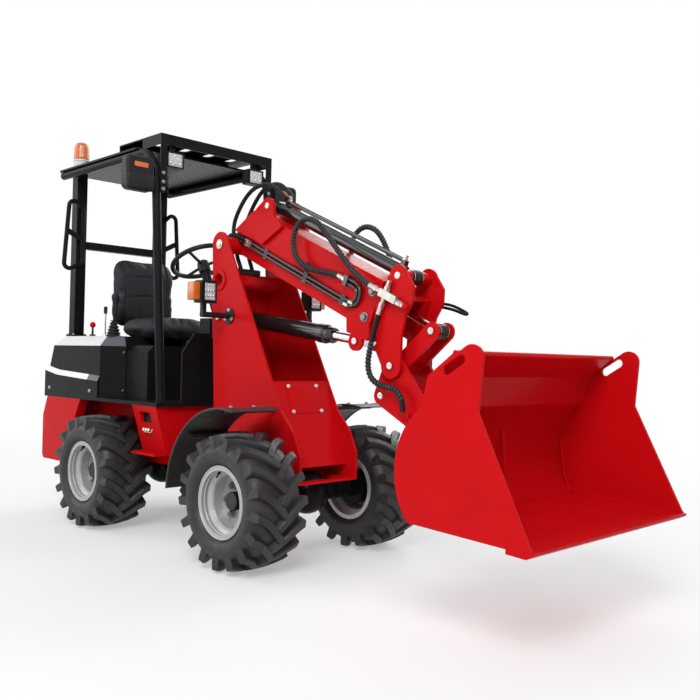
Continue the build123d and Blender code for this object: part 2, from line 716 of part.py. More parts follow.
# Outer boom: a box beam open at its front, with pivot hub, top bracket and lift lugs
BOOM_HIGH = BOOM_LOW + BOOM_TALL
BEAM = ((-38, BOOM_LOW - 8), (BOOM_END, BOOM_LOW), (BOOM_END, BOOM_HIGH), (95, BOOM_HIGH), (-38, 80))
BRACKET = ((-38, 80), (73, 230), (280, 256), (335, BOOM_HIGH - 1), (221, 88))
LUG = ((966, -13), (1000, -83), (1139, -68), (1148, -46), (BOOM_END, 6), (BOOM_END, 53))
with BuildPart() as outer_boom:
    plate(BOOM, BEAM, -BOOM_HALF_WIDTH, BOOM_HALF_WIDTH)
    disc(BOOM, (0, 0), BOOM_HUB_R, CLEAR - TOWER_INNER, TOWER_INNER - CLEAR)
    for near in (-BOOM_HALF_WIDTH - BRACKET_PLATE, BOOM_HALF_WIDTH):
        plate(BOOM, BRACKET, near, near + BRACKET_PLATE)
        link(BOOM, (BRACKET_PIN, BRACKET_HEEL), (BRACKET_LOBE_R, BRACKET_HEEL_R), near, near + BRACKET_PLATE)
    hollow = BOOM_HALF_WIDTH - BOOM_WALL
    cavity = bar(CAVITY_REAR, BOOM_END, BOOM_LOW + BOOM_WALL, BOOM_HIGH - BOOM_WALL)
    plate(BOOM, cavity, -hollow, hollow, Mode.SUBTRACT)
    for near in (-BOOM_HALF_WIDTH, BOOM_HALF_WIDTH - LUG_PLATE):
        plate(BOOM, LUG, near, near + LUG_PLATE)
        disc(BOOM, LIFT_PIN, LIFT_LOBE_R, near, near + LUG_PLATE)
    for near in (-BOOM_HALF_WIDTH - PIN_CAP, BOOM_HALF_WIDTH):
        disc(BOOM, LIFT_PIN, PIN_R, near, near + PIN_CAP)
    slot_half = BOOM_HALF_WIDTH - LUG_PLATE
    rear, front = LIFT_PIN[0] - RELIEF_REAR, LIFT_PIN[0] + RELIEF_FRONT
    low, high = BOOM_LOW - 2 * BOOM_WALL, BOOM_LOW + BOOM_WALL
    plate(BOOM, bar(rear, front, low, high), -slot_half, slot_half, Mode.SUBTRACT)
    pad_gap = INNER_GAP - SEAT_GAP
    for rear in (BOOM_END - PAD_FRONT_GAP - PAD_LENGTH, PAD_REAR):
        front = rear + PAD_LENGTH
        for low in (INNER_LOW - SEAT_GAP - pad_gap, INNER_HIGH + SEAT_GAP):
            plate(BOOM, bar(rear, front, low, low + pad_gap), -INNER_HALF, INNER_HALF)
    disc(BOOM, (0, 0), BOOM_PIN_R + RUN_FIT, -CHEEK_Y, CHEEK_Y, Mode.SUBTRACT)
finish(outer_boom, "outer_boom")

# Inner boom with its head: two plates that carry the coupler and the telescope rod
HEAD = (
    (1155, 118), (1174, 287), (1259, 324), (1328, 282), (1354, 216), (1343, 143), (1360, 46),
    (1412, -73), (1306, -120), (1247, -75), (1225, -14), (1180, 38),
)
with BuildPart() as inner_boom:
    plate(BOOM, bar(INNER_REAR, INNER_END, INNER_LOW, INNER_HIGH), -INNER_HALF, INNER_HALF)
    for near in (-HEAD_Y, HEAD_Y - HEAD_PLATE):
        plate(BOOM, HEAD, near, near + HEAD_PLATE)
        disc(BOOM, HEAD_TOP_PIN, HEAD_LOBE_R, near, near + HEAD_PLATE)
        disc(BOOM, COUPLER_PIVOT, COUPLER_LOBE_R, near, near + HEAD_PLATE)
    eye_gap = TELESCOPE_EYE_HALF + CLEAR
    spacer = bar(SPACER_REAR, INNER_END, INNER_LOW + SPACER_LIFT, INNER_HIGH)
    for near, far in ((-HEAD_Y, -INNER_HALF + INNER_WALL), (INNER_HALF - INNER_WALL, HEAD_Y)):
        plate(BOOM, spacer, near, far)
    for near, far in ((-HEAD_Y, -eye_gap), (eye_gap, HEAD_Y)):
        disc(BOOM, HEAD_TOP_PIN, PIN_R + 2 * PIN_CAP, near, far)
    bore = INNER_HALF - INNER_WALL
    low, high = INNER_LOW + INNER_WALL, INNER_HIGH - INNER_WALL
    plate(BOOM, bar(INNER_REAR, INNER_END, low, high), -bore, bore, Mode.SUBTRACT)
    chin_rear = BOOM_END + 2 * CLEAR
    plate(BOOM, bar(chin_rear, INNER_END, INNER_LOW, low), -bore, bore, Mode.SUBTRACT)
    disc(BOOM, TILT_BASE, PIN_R, -INNER_HALF, INNER_HALF)
    disc(BOOM, COUPLER_PIVOT, PIN_R, -HEAD_Y - PIN_CAP, HEAD_Y + PIN_CAP)
finish(inner_boom, "inner_boom")

# Telescope cylinder on top of the boom: its barrel rides on the bracket, its rod on the head
with BuildPart() as telescope_barrel:
    axis_plane = Plane(BOOM.from_local_coords((BRACKET_PIN[0], BRACKET_PIN[1], 0)), z_dir=BOOM.x_dir)
    disc(axis_plane, (0, 0), TELESCOPE_R, 0, TELESCOPE_BARREL)
    disc(BOOM, BRACKET_PIN, TELESCOPE_EYE_R, -TELESCOPE_EYE_HALF, TELESCOPE_EYE_HALF)
    disc(BOOM, BRACKET_PIN, PIN_R, -BOOM_HALF_WIDTH + SEAT_GAP, BOOM_HALF_WIDTH - SEAT_GAP)
    for station in (PORT_REAR, PORT_FRONT):
        port = bar(station - PORT_HALF, station + PORT_HALF, BRACKET_PIN[1], PORT_UP)
        plate(BOOM, port, -PORT_HALF, PORT_HALF)
    disc(axis_plane, (0, 0), TELESCOPE_ROD_R + RUN_FIT, TELESCOPE_CAP, TELESCOPE_BARREL, Mode.SUBTRACT)
finish(telescope_barrel, "telescope_barrel")

with BuildPart() as telescope_rod:
    rod_plane = Plane(BOOM.from_local_coords((HEAD_TOP_PIN[0], HEAD_TOP_PIN[1], 0)), z_dir=-BOOM.x_dir)
    rod_reach = HEAD_TOP_PIN[0] - BRACKET_PIN[0] - TELESCOPE_CAP - 2 * CLEAR
    pin_half = TELESCOPE_EYE_HALF + CLEAR - SEAT_GAP
    disc(rod_plane, (0, 0), TELESCOPE_ROD_R, 0, rod_reach)
    disc(BOOM, HEAD_TOP_PIN, TELESCOPE_EYE_R, -TELESCOPE_EYE_HALF, TELESCOPE_EYE_HALF)
    disc(BOOM, HEAD_TOP_PIN, PIN_R, -pin_half, pin_half)
finish(telescope_rod, "telescope_rod")


# Hydraulic lines: pipes clamped along the boom's right side and over the telescope, and hoses to the head
def boom_point(along, up, y):
    """Point given along, up and across from the boom."""
    return BOOM.from_local_coords(Vector(along, up, -y))


def line(points, radii, radius):
    """Pipe or hose through boom points, its corners rounded by the radii given."""
    with BuildLine() as path:
        FilletPolyline(*(boom_point(*point) for point in points), radius=radii)
    with BuildSketch(path.line ^ 0) as section:
        Circle(radius)
    sweep(section.sketch, path=path.line)


def hose_radii(points):
    """Arc at each inner point of a hose, as large as its two runs allow."""
    spots = [boom_point(*point) for point in points]
    runs = [far - near for near, far in zip(spots, spots[1:])]
    radii = []
    for first, second in zip(runs, runs[1:]):
        half_turn = radians(first.get_angle(second)) / 2
        radii.append(ARC_SHARE * min(first.length, second.length) / tan(half_turn))
    return radii


PIPE_Y = -BOOM_HALF_WIDTH - PIPE_STANDOFF - PIPE_R
# distance up of the run, station of its end, distance up of the way back
PIPES = ((62, 1000, 134), (40, 1024, 158))
PIPE_END = 921
JUNCTION = 26
with BuildPart() as boom_pipes:
    for up, end, back in PIPES:
        turn = (back - up) / 2 - 1
        route = ((PIPE_REAR, up, PIPE_Y), (end, up, PIPE_Y), (end, back, PIPE_Y), (PIPE_END, back, PIPE_Y))
        line(route, turn, PIPE_R)
    clamp_low, clamp_high = PIPES[1][0] - 2 * PIPE_R, PIPES[0][0] + PIPE_R + PIPE_STANDOFF
    for rear in CLAMP_STATIONS:
        plate(BOOM, bar(rear, rear + CLAMP_LENGTH, clamp_low, clamp_high), BOOM_HALF_WIDTH, -PIPE_Y)
    low, high = PIPES[0][2] - JUNCTION / 2, PIPES[1][2] + JUNCTION / 2
    plate(BOOM, bar(PIPE_END - JUNCTION, PIPE_END, low, high), BOOM_HALF_WIDTH, -PIPE_Y + JUNCTION / 2)
    top_pipe = Plane(boom_point(PORT_REAR + PORT_HALF, PORT_UP - PIPE_R, 0), z_dir=BOOM.x_dir)
    disc(top_pipe, (0, 0), PIPE_R, 0, PORT_FRONT - PORT_REAR - 2 * PORT_HALF)
finish(boom_pipes, "boom_pipes")

MANIFOLD_END = MANIFOLD_REAR + MANIFOLD_LENGTH
with BuildPart() as head_fittings:
    low, high = MANIFOLD_UP - MANIFOLD_TALL / 2, MANIFOLD_UP + MANIFOLD_TALL / 2
    body = bar(MANIFOLD_REAR, MANIFOLD_END, low, high)
    ports = Plane(boom_point(MANIFOLD_REAR, MANIFOLD_UP, 0), x_dir=(0, 1, 0), z_dir=-BOOM.x_dir)
    for near in (-HEAD_Y - MANIFOLD_DEEP, HEAD_Y):
        plate(BOOM, body, near, near + MANIFOLD_DEEP)
        disc(ports, (near + MANIFOLD_DEEP / 2, 0), HOSE_R, 0, PORT_LENGTH)
    drop = Plane(boom_point(MANIFOLD_REAR + MANIFOLD_DEEP, low, -HOSE_Y), z_dir=-BOOM.y_dir)
    disc(drop, (0, 0), HOSE_R, 0, PORT_LENGTH)
finish(head_fittings, "head_fittings")

# along, up and across of each hose: a loop on either side that unrolls as the boom extends
HOSE_END = MANIFOLD_REAR - PORT_LENGTH - SEAT_GAP
HOSE_RIGHT = (
    (PIPE_END - JUNCTION, 146, PIPE_Y), (815, 146, PIPE_Y), (725, 122, -106), (635, 106, -120),
    (545, 128, -HOSE_Y), (486, 195, -HOSE_Y), (480, 276, -HOSE_Y), (530, 334, -HOSE_Y), (610, 348, -HOSE_Y),
    (700, 318, -HOSE_Y), (815, 268, -HOSE_Y), (945, 218, -HOSE_Y), (1060, MANIFOLD_UP, -HOSE_Y),
    (HOSE_END, MANIFOLD_UP, -HOSE_Y),
)
HOSE_LEFT = (
    (960, 120, 92), (880, 116, 100), (800, 118, 112), (715, 148, 124), (652, 220, HOSE_Y), (634, 310, HOSE_Y),
    (682, 378, HOSE_Y), (770, 392, HOSE_Y), (860, 348, HOSE_Y), (955, 262, HOSE_Y),
    (1060, MANIFOLD_UP, HOSE_Y), (HOSE_END, MANIFOLD_UP, HOSE_Y),
)
# rear, front, low and high edge of the block that the left hose comes out of
HOSE_ANCHOR = (948, 978, 104, 136)
with BuildPart() as boom_hoses:
    for route in (HOSE_RIGHT, HOSE_LEFT):
        line(route, hose_radii(route), HOSE_R)
    plate(BOOM, bar(*HOSE_ANCHOR), -HOSE_LEFT[0][2], -BOOM_HALF_WIDTH)
finish(boom_hoses, "boom_hoses")

DROP_ALONG, DROP_UP = MANIFOLD_REAR + MANIFOLD_DEEP, MANIFOLD_UP - MANIFOLD_TALL / 2 - PORT_LENGTH
HITCH_HOSE = (
    (DROP_ALONG, DROP_UP, -HOSE_Y), (DROP_ALONG, 75, -HOSE_Y), (1216, 0, -134), (1230, -72, -137),
    (1246, -140, -138), (1290, -192, -136), (1365, -196, -134), (1440, -168, -132), (1500, -190, -130),
    (1528, -243, -HOSE_Y),
)
with BuildPart() as hitch_hose:
    line(HITCH_HOSE, hose_radii(HITCH_HOSE), HOSE_R)
finish(hitch_hose, "hitch_hose")


# Cylinders that turn with a joint: a barrel with an eye at its base, and a rod with an eye at its pin
def cylinder_axis(base, tip):
    """Plane at the base pin of a cylinder, looking along it, and the length between its pins."""
    span = tip - base
    return Plane(base, z_dir=span), span.length


def cylinder_pair(name, base, tip, cross, bores):
    """Barrel and rod between two pins; bores holds the radii, the barrel's length and the eye's size."""
    barrel_r, rod_r, barrel_length, retract, base_pin_r, eye_r, eye_half = bores
    axis_plane, length = cylinder_axis(base, tip)
    base_plane = Plane(base, z_dir=cross)
    tip_plane = Plane(tip, z_dir=cross)
    with BuildPart() as barrel:
        disc(axis_plane, (0, 0), barrel_r, 0, barrel_length)
        disc(base_plane, (0, 0), barrel_r + BASE_EYE_RIM, -eye_half, eye_half)
        disc(axis_plane, (0, 0), barrel_r + GLAND_RIM, barrel_length - GLAND_LENGTH, barrel_length)
        disc(axis_plane, (0, 0), rod_r + RUN_FIT, barrel_r + base_pin_r, barrel_length, Mode.SUBTRACT)
        bore_half = max(eye_half, barrel_r) + CUT_PAST
        disc(base_plane, (0, 0), base_pin_r + RUN_FIT, -bore_half, bore_half, Mode.SUBTRACT)
    finish(barrel, f"{name}_barrel")
    with BuildPart() as rod:
        disc(axis_plane, (0, 0), rod_r, barrel_r + base_pin_r + retract, length)
        disc(tip_plane, (0, 0), eye_r, -eye_half, eye_half)
    finish(rod, f"{name}_rod")


def side_point(point):
    """Point of the mid-plane at a station and a height."""
    return Vector(FRONT_AXLE_X + point[0], 0, point[1])


across = Vector(0, 1, 0)
lift_sizes = (LIFT_R, LIFT_ROD_R, LIFT_BARREL, LIFT_RETRACT, PIN_R, LIFT_EYE_R, LIFT_EYE_HALF)
cylinder_pair("lift", side_point(LIFT_BASE), side_point(from_boom(LIFT_PIN)), across, lift_sizes)
tilt_sizes = (TILT_R, TILT_ROD_R, TILT_BARREL, TILT_RETRACT, PIN_R, TILT_EYE_R, TILT_EYE_HALF)
cylinder_pair("tilt", side_point(from_boom(TILT_BASE)), side_point(from_boom(LEVER_PIN)), across, tilt_sizes)
steer_sizes = (STEER_R, STEER_ROD_R, STEER_BARREL, STEER_RETRACT, STEER_PIN_R, STEER_EYE_R, STEER_EYE_HALF)
steer_ends = [Vector(FRONT_AXLE_X + x, y, STEER_Z) for x, y in (STEER_BASE, STEER_PIN)]
cylinder_pair("steer", *steer_ends, Vector(0, 0, 1), steer_sizes)

# Hitch: a tube on the coupler pivot with two levers up to the tilt rod and two plates down
pivot_point, lever_point = from_boom(COUPLER_PIVOT), from_boom(LEVER_PIN)
with BuildPart() as hitch:
    disc(SIDE, pivot_point, PIVOT_TUBE_R, -HITCH_Y, HITCH_Y)
    for near in (-LEVER_Y, LEVER_Y - LEVER_PLATE):
        lever_radii = (PIVOT_TUBE_R + LEVER_ROOT_RIM, LEVER_LOBE_R)
        link(SIDE, (pivot_point, lever_point), lever_radii, near, near + LEVER_PLATE)
    for near in (-LEVER_Y - PIN_CAP, LEVER_Y):
        disc(SIDE, lever_point, PIN_R, near, near + PIN_CAP)
    for near in (-HITCH_Y, HITCH_Y - HEAD_PLATE):
        rear_ends = (pivot_point, HITCH_LOBE, HITCH_FRONT_LOW)
        link(SIDE, rear_ends, (COUPLER_LOBE_R, HITCH_LOBE_R, HITCH_FRONT_R), near, near + HEAD_PLATE)
        front_ends = (pivot_point, HITCH_FRONT_LOW, HITCH_FRONT_HIGH)
        link(SIDE, front_ends, (COUPLER_LOBE_R, HITCH_FRONT_R, HITCH_FRONT_R), near, near + HEAD_PLATE)
    disc(SIDE, HITCH_LOBE, PIN_R, -HITCH_Y, HITCH_Y)
    disc(SIDE, HITCH_PORT, HOSE_R, HITCH_Y, HOSE_Y - HOSE_R - CLEAR / 2)
    disc(SIDE, pivot_point, PIN_R + RUN_FIT, -HITCH_Y, HITCH_Y, Mode.SUBTRACT)
finish(hitch, "hitch")

# Bucket: a bent sheet between two side plates, with lifting eyes, a wear edge and ears for the hitch
side_low = (BUCKET_TIP[0] - BUCKET_TOE[0], BUCKET_TIP[1] + BUCKET_TOE[1])
slot_middle = (BUCKET_LOBE[0] + LIFT_SLOT_PLACE[0], BUCKET_LOBE[1] + LIFT_SLOT_PLACE[1])
lobe_front = tangent_point(BUCKET_LOBE, BUCKET_LOBE_R, BUCKET_KINK, -1)
lobe_rear = tangent_point(BUCKET_LOBE, BUCKET_LOBE_R, BUCKET_SHOULDER, 1)
EAR_Y = HITCH_Y - HEAD_PLATE - SEAT_GAP
EAR = ((600, 820), (790, 755), (1180, 520), (1160, 760), (850, 870), (600, 892))
with BuildPart() as bucket:
    with BuildSketch(SIDE.offset(-BUCKET_HALF)):
        with BuildLine():
            Line(BUCKET_TIP, BUCKET_HEEL)
            ThreePointArc(BUCKET_HEEL, BUCKET_BULGE, BUCKET_WAIST)
            Polyline(BUCKET_WAIST, BUCKET_SHOULDER, BUCKET_LIP)
            offset(amount=BUCKET_SHEET, side=Side.RIGHT)
        make_face()
    extrude(amount=BUCKET_WIDTH)
    for near in (-BUCKET_HALF, BUCKET_HALF - PLATE):
        with BuildSketch(SIDE.offset(near)):
            with BuildLine():
                Line(BUCKET_TIP, BUCKET_HEEL)
                ThreePointArc(BUCKET_HEEL, BUCKET_BULGE, BUCKET_WAIST)
                Polyline(BUCKET_WAIST, BUCKET_SHOULDER, lobe_rear)
                Line(lobe_rear, lobe_front)
                Polyline(lobe_front, BUCKET_KINK, side_low, BUCKET_TIP)
            make_face()
            with Locations(BUCKET_LOBE):
                Circle(BUCKET_LOBE_R)
            with Locations(slot_middle):
                SlotOverall(*LIFT_SLOT, rotation=LIFT_SLOT_LEAN, mode=Mode.SUBTRACT)
        extrude(amount=PLATE)
    edge_low = BUCKET_TIP[1] - EDGE_THICK
    edge_rear = BUCKET_TIP[0] - EDGE_LENGTH
    wear = (BUCKET_TIP, (edge_rear, BUCKET_TIP[1] + BUCKET_SHEET), (edge_rear, edge_low + EDGE_RISE))
    wear += ((BUCKET_TIP[0] - EDGE_BEVEL, edge_low),)
    plate(SIDE, wear, -BUCKET_HALF, BUCKET_HALF)
    for near in (-EAR_Y, EAR_Y - HEAD_PLATE):
        plate(SIDE, EAR, near, near + HEAD_PLATE)
        disc(SIDE, HITCH_LOBE, HITCH_LOBE_R - EAR_INSET, near, near + HEAD_PLATE)
    disc(SIDE, HITCH_LOBE, PIN_R + RUN_FIT, -EAR_Y, EAR_Y, Mode.SUBTRACT)
finish(bucket, "bucket")

# Rear chassis: two side plates with cross plates, pivot lugs and steps
FRAME_TOP = DECK_Z - DECK_PLATE
with BuildPart() as rear_chassis:
    for y in (-FRAME_HALF, FRAME_HALF - PLATE):
        block((FRAME_REAR_X, y, FRAME_LOW_Z), (FRAME_FRONT_X, y + PLATE, FRAME_TOP))
    for x in (FRAME_FRONT_X - PLATE, REAR_AXLE_X + DIFF_R + FRAME_CROSS_GAP, FRAME_REAR_X):
        block((x, -FRAME_HALF, FRAME_LOW_Z), (x + PLATE, FRAME_HALF, FRAME_LOW_Z + FRAME_CROSS_TALL))
    block((FRAME_FRONT_X - PLATE, -FRAME_HALF, FRAME_LOW_Z), (FRAME_FRONT_X, FRAME_HALF, FRAME_TOP))
    for low_z in (PIVOT_LOW_Z, PIVOT_HIGH_Z):
        lug_ends = ((PIVOT_X, 0), (FRAME_FRONT_X - FRAME_LUG_ROOT, 0))
        link(PLAN, lug_ends, (PIVOT_LUG_R, LUG_ROOT_HALF), low_z, low_z + PIVOT_LUG)
    for low_z in (PIVOT_LOW_Z, PIVOT_HIGH_Z - PIVOT_LUG - 2 * CLEAR):
        disc(PLAN, (PIVOT_X, 0), PIVOT_PIN_R, low_z, low_z + 2 * PIVOT_LUG + 2 * CLEAR)
    web_x, web_z = FRAME_FRONT_X - LUG_WEB, FRAME_LOW_Z + PLATE
    block((web_x, -LUG_ROOT_HALF, PIVOT_LOW_Z), (FRAME_FRONT_X, LUG_ROOT_HALF, web_z))
    hole_low, hole_high = (STEER_HOLE[0], STEER_Z - STEER_HOLE[2]), (STEER_HOLE[1], STEER_Z + STEER_HOLE[2])
    block((FRAME_FRONT_X - PLATE, *hole_low), (FRAME_FRONT_X, *hole_high), Mode.SUBTRACT)
    for side in (-1, 1):
        step = ((TANK_REAR_X, side * FRAME_HALF), (FRAME_FRONT_X, side * FRAME_HALF))
        step += ((FRAME_FRONT_X, side * DECK_HALF), (TANK_REAR_X, side * DECK_HALF))
        plate(PLAN, step, TANK_LOW_Z - STEP_PLATE, TANK_LOW_Z)
    steer_base_x, steer_base_y = STEER_BASE
    base_low = STEER_Z - STEER_EYE_HALF - CLEAR
    seat_low = (steer_base_x - STEER_SEAT, steer_base_y - STEER_SEAT, base_low - PLATE)
    block(seat_low, (steer_base_x + STEER_SEAT, FRAME_HALF, base_low))
    disc(PLAN, STEER_BASE, STEER_PIN_R, base_low, STEER_Z + STEER_EYE_HALF)
finish(rear_chassis, "rear_chassis")

# Tanks between the steps and the deck, leaning in towards the step
with BuildPart() as side_tanks:
    for side in (-1, 1):
        inner_y = side * (FRAME_HALF + TANK_GAP)
        wall = ((inner_y, TANK_LOW_Z), (side * TANK_LOW_Y, TANK_LOW_Z))
        wall += ((side * DECK_HALF, FRAME_TOP), (inner_y, FRAME_TOP))
        plate(ACROSS, wall, TANK_REAR_X, FRAME_FRONT_X)
    door_low = (TANK_DOOR[0], -DECK_HALF, TANK_DOOR_Z[0])
    door_high = (TANK_DOOR[1], TANK_DOOR_DEEP - DECK_HALF, TANK_DOOR_Z[1])
    block(door_low, door_high, Mode.SUBTRACT)
finish(side_tanks, "side_tanks")

# Counterweight: a U of thick walls round the engine bay, its side walls raked at the front
with BuildPart() as counterweight:
    weight_top_x = -REAR_REACH + WEIGHT_TOP_LENGTH
    wall = (
        (-REAR_REACH + WEIGHT_FOOT[0], WEIGHT_LOW_Z),
        (-REAR_REACH + WEIGHT_LOW_LENGTH, WEIGHT_LOW_Z),
        (weight_top_x, FRAME_TOP),
        (-REAR_REACH + WEIGHT_TOP_SLOPE, FRAME_TOP),
        (-REAR_REACH, WEIGHT_KNEE_Z),
        (-REAR_REACH, WEIGHT_LOW_Z + WEIGHT_FOOT[1]),
    )
    plate(SIDE, wall, -DECK_HALF, DECK_HALF)
    inner = DECK_HALF - WEIGHT_WALL
    bay_rear = -REAR_REACH + WEIGHT_REAR_WALL
    block((bay_rear, -inner, WEIGHT_LOW_Z), (weight_top_x, inner, FRAME_TOP), Mode.SUBTRACT)
    block((bay_rear, -FRAME_HALF, WEIGHT_LOW_Z), (FRAME_REAR_X, FRAME_HALF, FRAME_LOW_Z + WEIGHT_WALL))
finish(counterweight, "counterweight")

# Engine: one plain block on the frame
with BuildPart() as engine_block:
    engine_rear, engine_front = FRAME_REAR_X + ENGINE_REAR_GAP, HOOD_FRONT_X - ENGINE_FRONT_GAP
    engine_low = (engine_rear, -ENGINE_WIDTH / 2, ENGINE_LOW_Z)
    block(engine_low, (engine_front, ENGINE_WIDTH / 2, ENGINE_LOW_Z + ENGINE_TALL))
    foot_long, foot_tall = ENGINE_FOOT
    foot_rear = (engine_rear + engine_front - foot_long) / 2
    reach = FRAME_HALF - PLATE
    block((foot_rear, -reach, ENGINE_LOW_Z), (foot_rear + foot_long, reach, ENGINE_LOW_Z + foot_tall))
finish(engine_block, "engine_block")

# Deck plate with an opening over the engine bay
with BuildPart() as deck:
    rear_x = HOOD_REAR_X
    nose_x, nose_y = DECK_FRONT_X - DECK_NOSE[0], DECK_HALF - DECK_NOSE[1]
    deck_plan = ((rear_x, -DECK_HALF), (nose_x, -DECK_HALF), (DECK_FRONT_X, -nose_y))
    deck_plan += ((DECK_FRONT_X, nose_y), (nose_x, DECK_HALF), (rear_x, DECK_HALF))
    plate(PLAN, deck_plan, FRAME_TOP, DECK_Z)
    opening_front = HOOD_FRONT_X - ENGINE_REAR_GAP
    block((FRAME_REAR_X, -inner, FRAME_TOP), (opening_front, inner, DECK_Z), Mode.SUBTRACT)
finish(deck, "deck")

# Hood: a shell with a leaning back, chamfered top edges, cut-off front corners and a flared band at its foot
BAND_FRONT_X = HOOD_FRONT_X - HOOD_CORNER


def hood_body(inset):
    """Closed body of the hood, its walls drawn in by an inset."""
    front, top, half = HOOD_FRONT_X - inset, HOOD_TOP - inset, HOOD_HALF - inset
    rear = HOOD_REAR_X + BAND_DEEP + inset
    profile = ((rear, DECK_Z), (rear, BAND_REAR_Z), (rear + HOOD_LEAN, HOOD_SIDE_TOP))
    profile += ((rear + HOOD_LEAN + HOOD_CROWN, top), (front, top), (front, DECK_Z))
    with BuildPart() as body:
        plate(SIDE, profile, -half, half)
        for side in (-half, half):
            inner_y = side * (1 - HOOD_CORNER / half)
            corner_cut = ((front - HOOD_CORNER, side), (front, side), (front, inner_y))
            plate(PLAN, corner_cut, DECK_Z, top, Mode.SUBTRACT)
        crown = body.faces().sort_by(Axis.Z)[-1].edges()
        chamfer(crown.sort_by(Axis.X)[1:], HOOD_TOP - HOOD_SIDE_TOP)
    return body.part


def band_face(y, lift):
    """Side outline of the flared band at a distance from the middle, its top edge lifted."""
    knee_x = HOOD_REAR_X + BAND_KNEE_LENGTH
    outline = ((HOOD_REAR_X, DECK_Z), (HOOD_REAR_X, BAND_REAR_Z + lift), (knee_x, BAND_KNEE_Z + lift))
    outline += ((BAND_FRONT_X, BAND_FRONT_Z + lift), (BAND_FRONT_X, DECK_Z))
    with BuildSketch(SIDE.offset(-y)) as face:
        with BuildLine():
            Polyline(*outline, close=True)
        make_face()
    return face.sketch


with BuildPart() as hood:
    add(hood_body(0))
    block((HOOD_REAR_X, -HOOD_HALF, DECK_Z), (HOOD_REAR_X + BAND_DEEP, HOOD_HALF, BAND_REAR_Z))
    for side in (-1, 1):
        loft((band_face(side * HOOD_HALF, BAND_LEDGE), band_face(side * DECK_HALF, 0)), ruled=True)
    add(hood_body(HOOD_WALL), mode=Mode.SUBTRACT)
finish(hood, "hood")

# Grille in the back of the hood: a frame with level bars
with BuildPart() as rear_grille:
    grille_x, grille_low = HOOD_REAR_X - GRILLE_DEEP, DECK_Z + GRILLE_LOW
    grille_high = grille_low + 2 * GRILLE_FRAME + GRILLE_BARS * GRILLE_PITCH
    block((grille_x, -GRILLE_HALF, grille_low), (HOOD_REAR_X, GRILLE_HALF, grille_high))
    slot_half = GRILLE_HALF - GRILLE_FRAME
    for row in range(GRILLE_BARS):
        slot_low = grille_low + GRILLE_FRAME + row * GRILLE_PITCH
        slot = (HOOD_REAR_X - GRILLE_DEEP / 3, slot_half, slot_low + GRILLE_SLOT)
        block((grille_x, -slot_half, slot_low), slot, Mode.SUBTRACT)
finish(rear_grille, "rear_grille")

# Seat box in front of the hood, open towards the hood
with BuildPart() as seat_box:
    box_rear = HOOD_FRONT_X + SEAT_GAP
    block((box_rear, -SEAT_BOX_HALF, DECK_Z), (SEAT_BOX_FRONT_X, SEAT_BOX_HALF, SEAT_BOX_TOP))
    chamfer(seat_box.faces().sort_by(Axis.Z)[-1].edges().filter_by(Axis.X), SEAT_BOX_CHAMFER)
    offset(amount=-HOOD_WALL, openings=seat_box.faces().sort_by(Axis.Z)[0])
finish(seat_box, "seat_box")

# Seat cushion and winged back, plain closed forms
with BuildPart() as seat_cushion:
    cushion_low = HOOD_TOP + SEAT_GAP
    block((SEAT_REAR_X, -SEAT_HALF, cushion_low), (SEAT_FRONT_X, SEAT_HALF, SEAT_TOP))
    fillet(seat_cushion.edges().filter_by(Axis.Z), SEAT_CORNER)
    fillet(seat_cushion.faces().sort_by(Axis.Z)[-1].edges(), SEAT_ROLL)
finish(seat_cushion, "seat_cushion")

with BuildPart() as seat_back:
    back_low = SEAT_TOP - SEAT_BACK_DROP
    back_foot = (FRONT_AXLE_X + SEAT_REAR_X - SEAT_GAP, 0, back_low)
    back_plane = Plane(back_foot, x_dir=(0, -1, 0), z_dir=(-1, 0, 0))
    back_tall = SEAT_BACK_TOP - back_low
    with BuildSketch(back_plane):
        with Locations((0, back_tall / 2)):
            RectangleRounded(2 * SEAT_HALF, back_tall, SEAT_BACK_CORNER)
    extrude(amount=SEAT_BACK_THICK)
    fillet(seat_back.edges().group_by(Axis.X)[-1], SEAT_ROLL)
finish(seat_back, "seat_back")

# Levers beside the seat: a joystick with its boot, and a knob lever
crown_half = HOOD_HALF - HOOD_TOP + HOOD_SIDE_TOP
crown_middle = (HOOD_REAR_X + HOOD_FRONT_X) / 2
# station, radius of the boot's foot, height, radius of the stick, radius of the knob
LEVERS = ((HOOD_FRONT_X - LEVER_INSET - JOYSTICK_BACK, 38, 255, 11, 26), (crown_middle, 16, 92, 7, 18))
with BuildPart() as control_levers:
    for x, foot_r, tall, stick_r, knob_r in LEVERS:
        foot = Plane((FRONT_AXLE_X + x, LEVER_INSET - crown_half, HOOD_TOP))
        boot_tall = 2 * foot_r
        with Locations(foot.offset(boot_tall / 2)):
            Cone(foot_r, stick_r + BOOT_RIM, boot_tall)
        disc(foot, (0, 0), stick_r, 0, tall)
        with Locations(foot.offset(tall - knob_r)):
            Sphere(knob_r)
finish(control_levers, "control_levers")

# Footwell panel and steering column
with BuildPart() as footwell_panel:
    knee, top, shoulder = DECK_Z + PANEL_KNEE_Z, DECK_Z + PANEL_TOP_Z, PANEL_HALF - PANEL_CORNER
    panel = ((-PANEL_HALF, DECK_Z), (PANEL_HALF, DECK_Z), (PANEL_HALF, knee))
    panel += ((shoulder, top), (-shoulder, top), (-PANEL_HALF, knee))
    panel_front = DECK_FRONT_X - PANEL_INSET
    plate(ACROSS, panel, panel_front - PLATE, panel_front)
finish(footwell_panel, "footwell_panel")

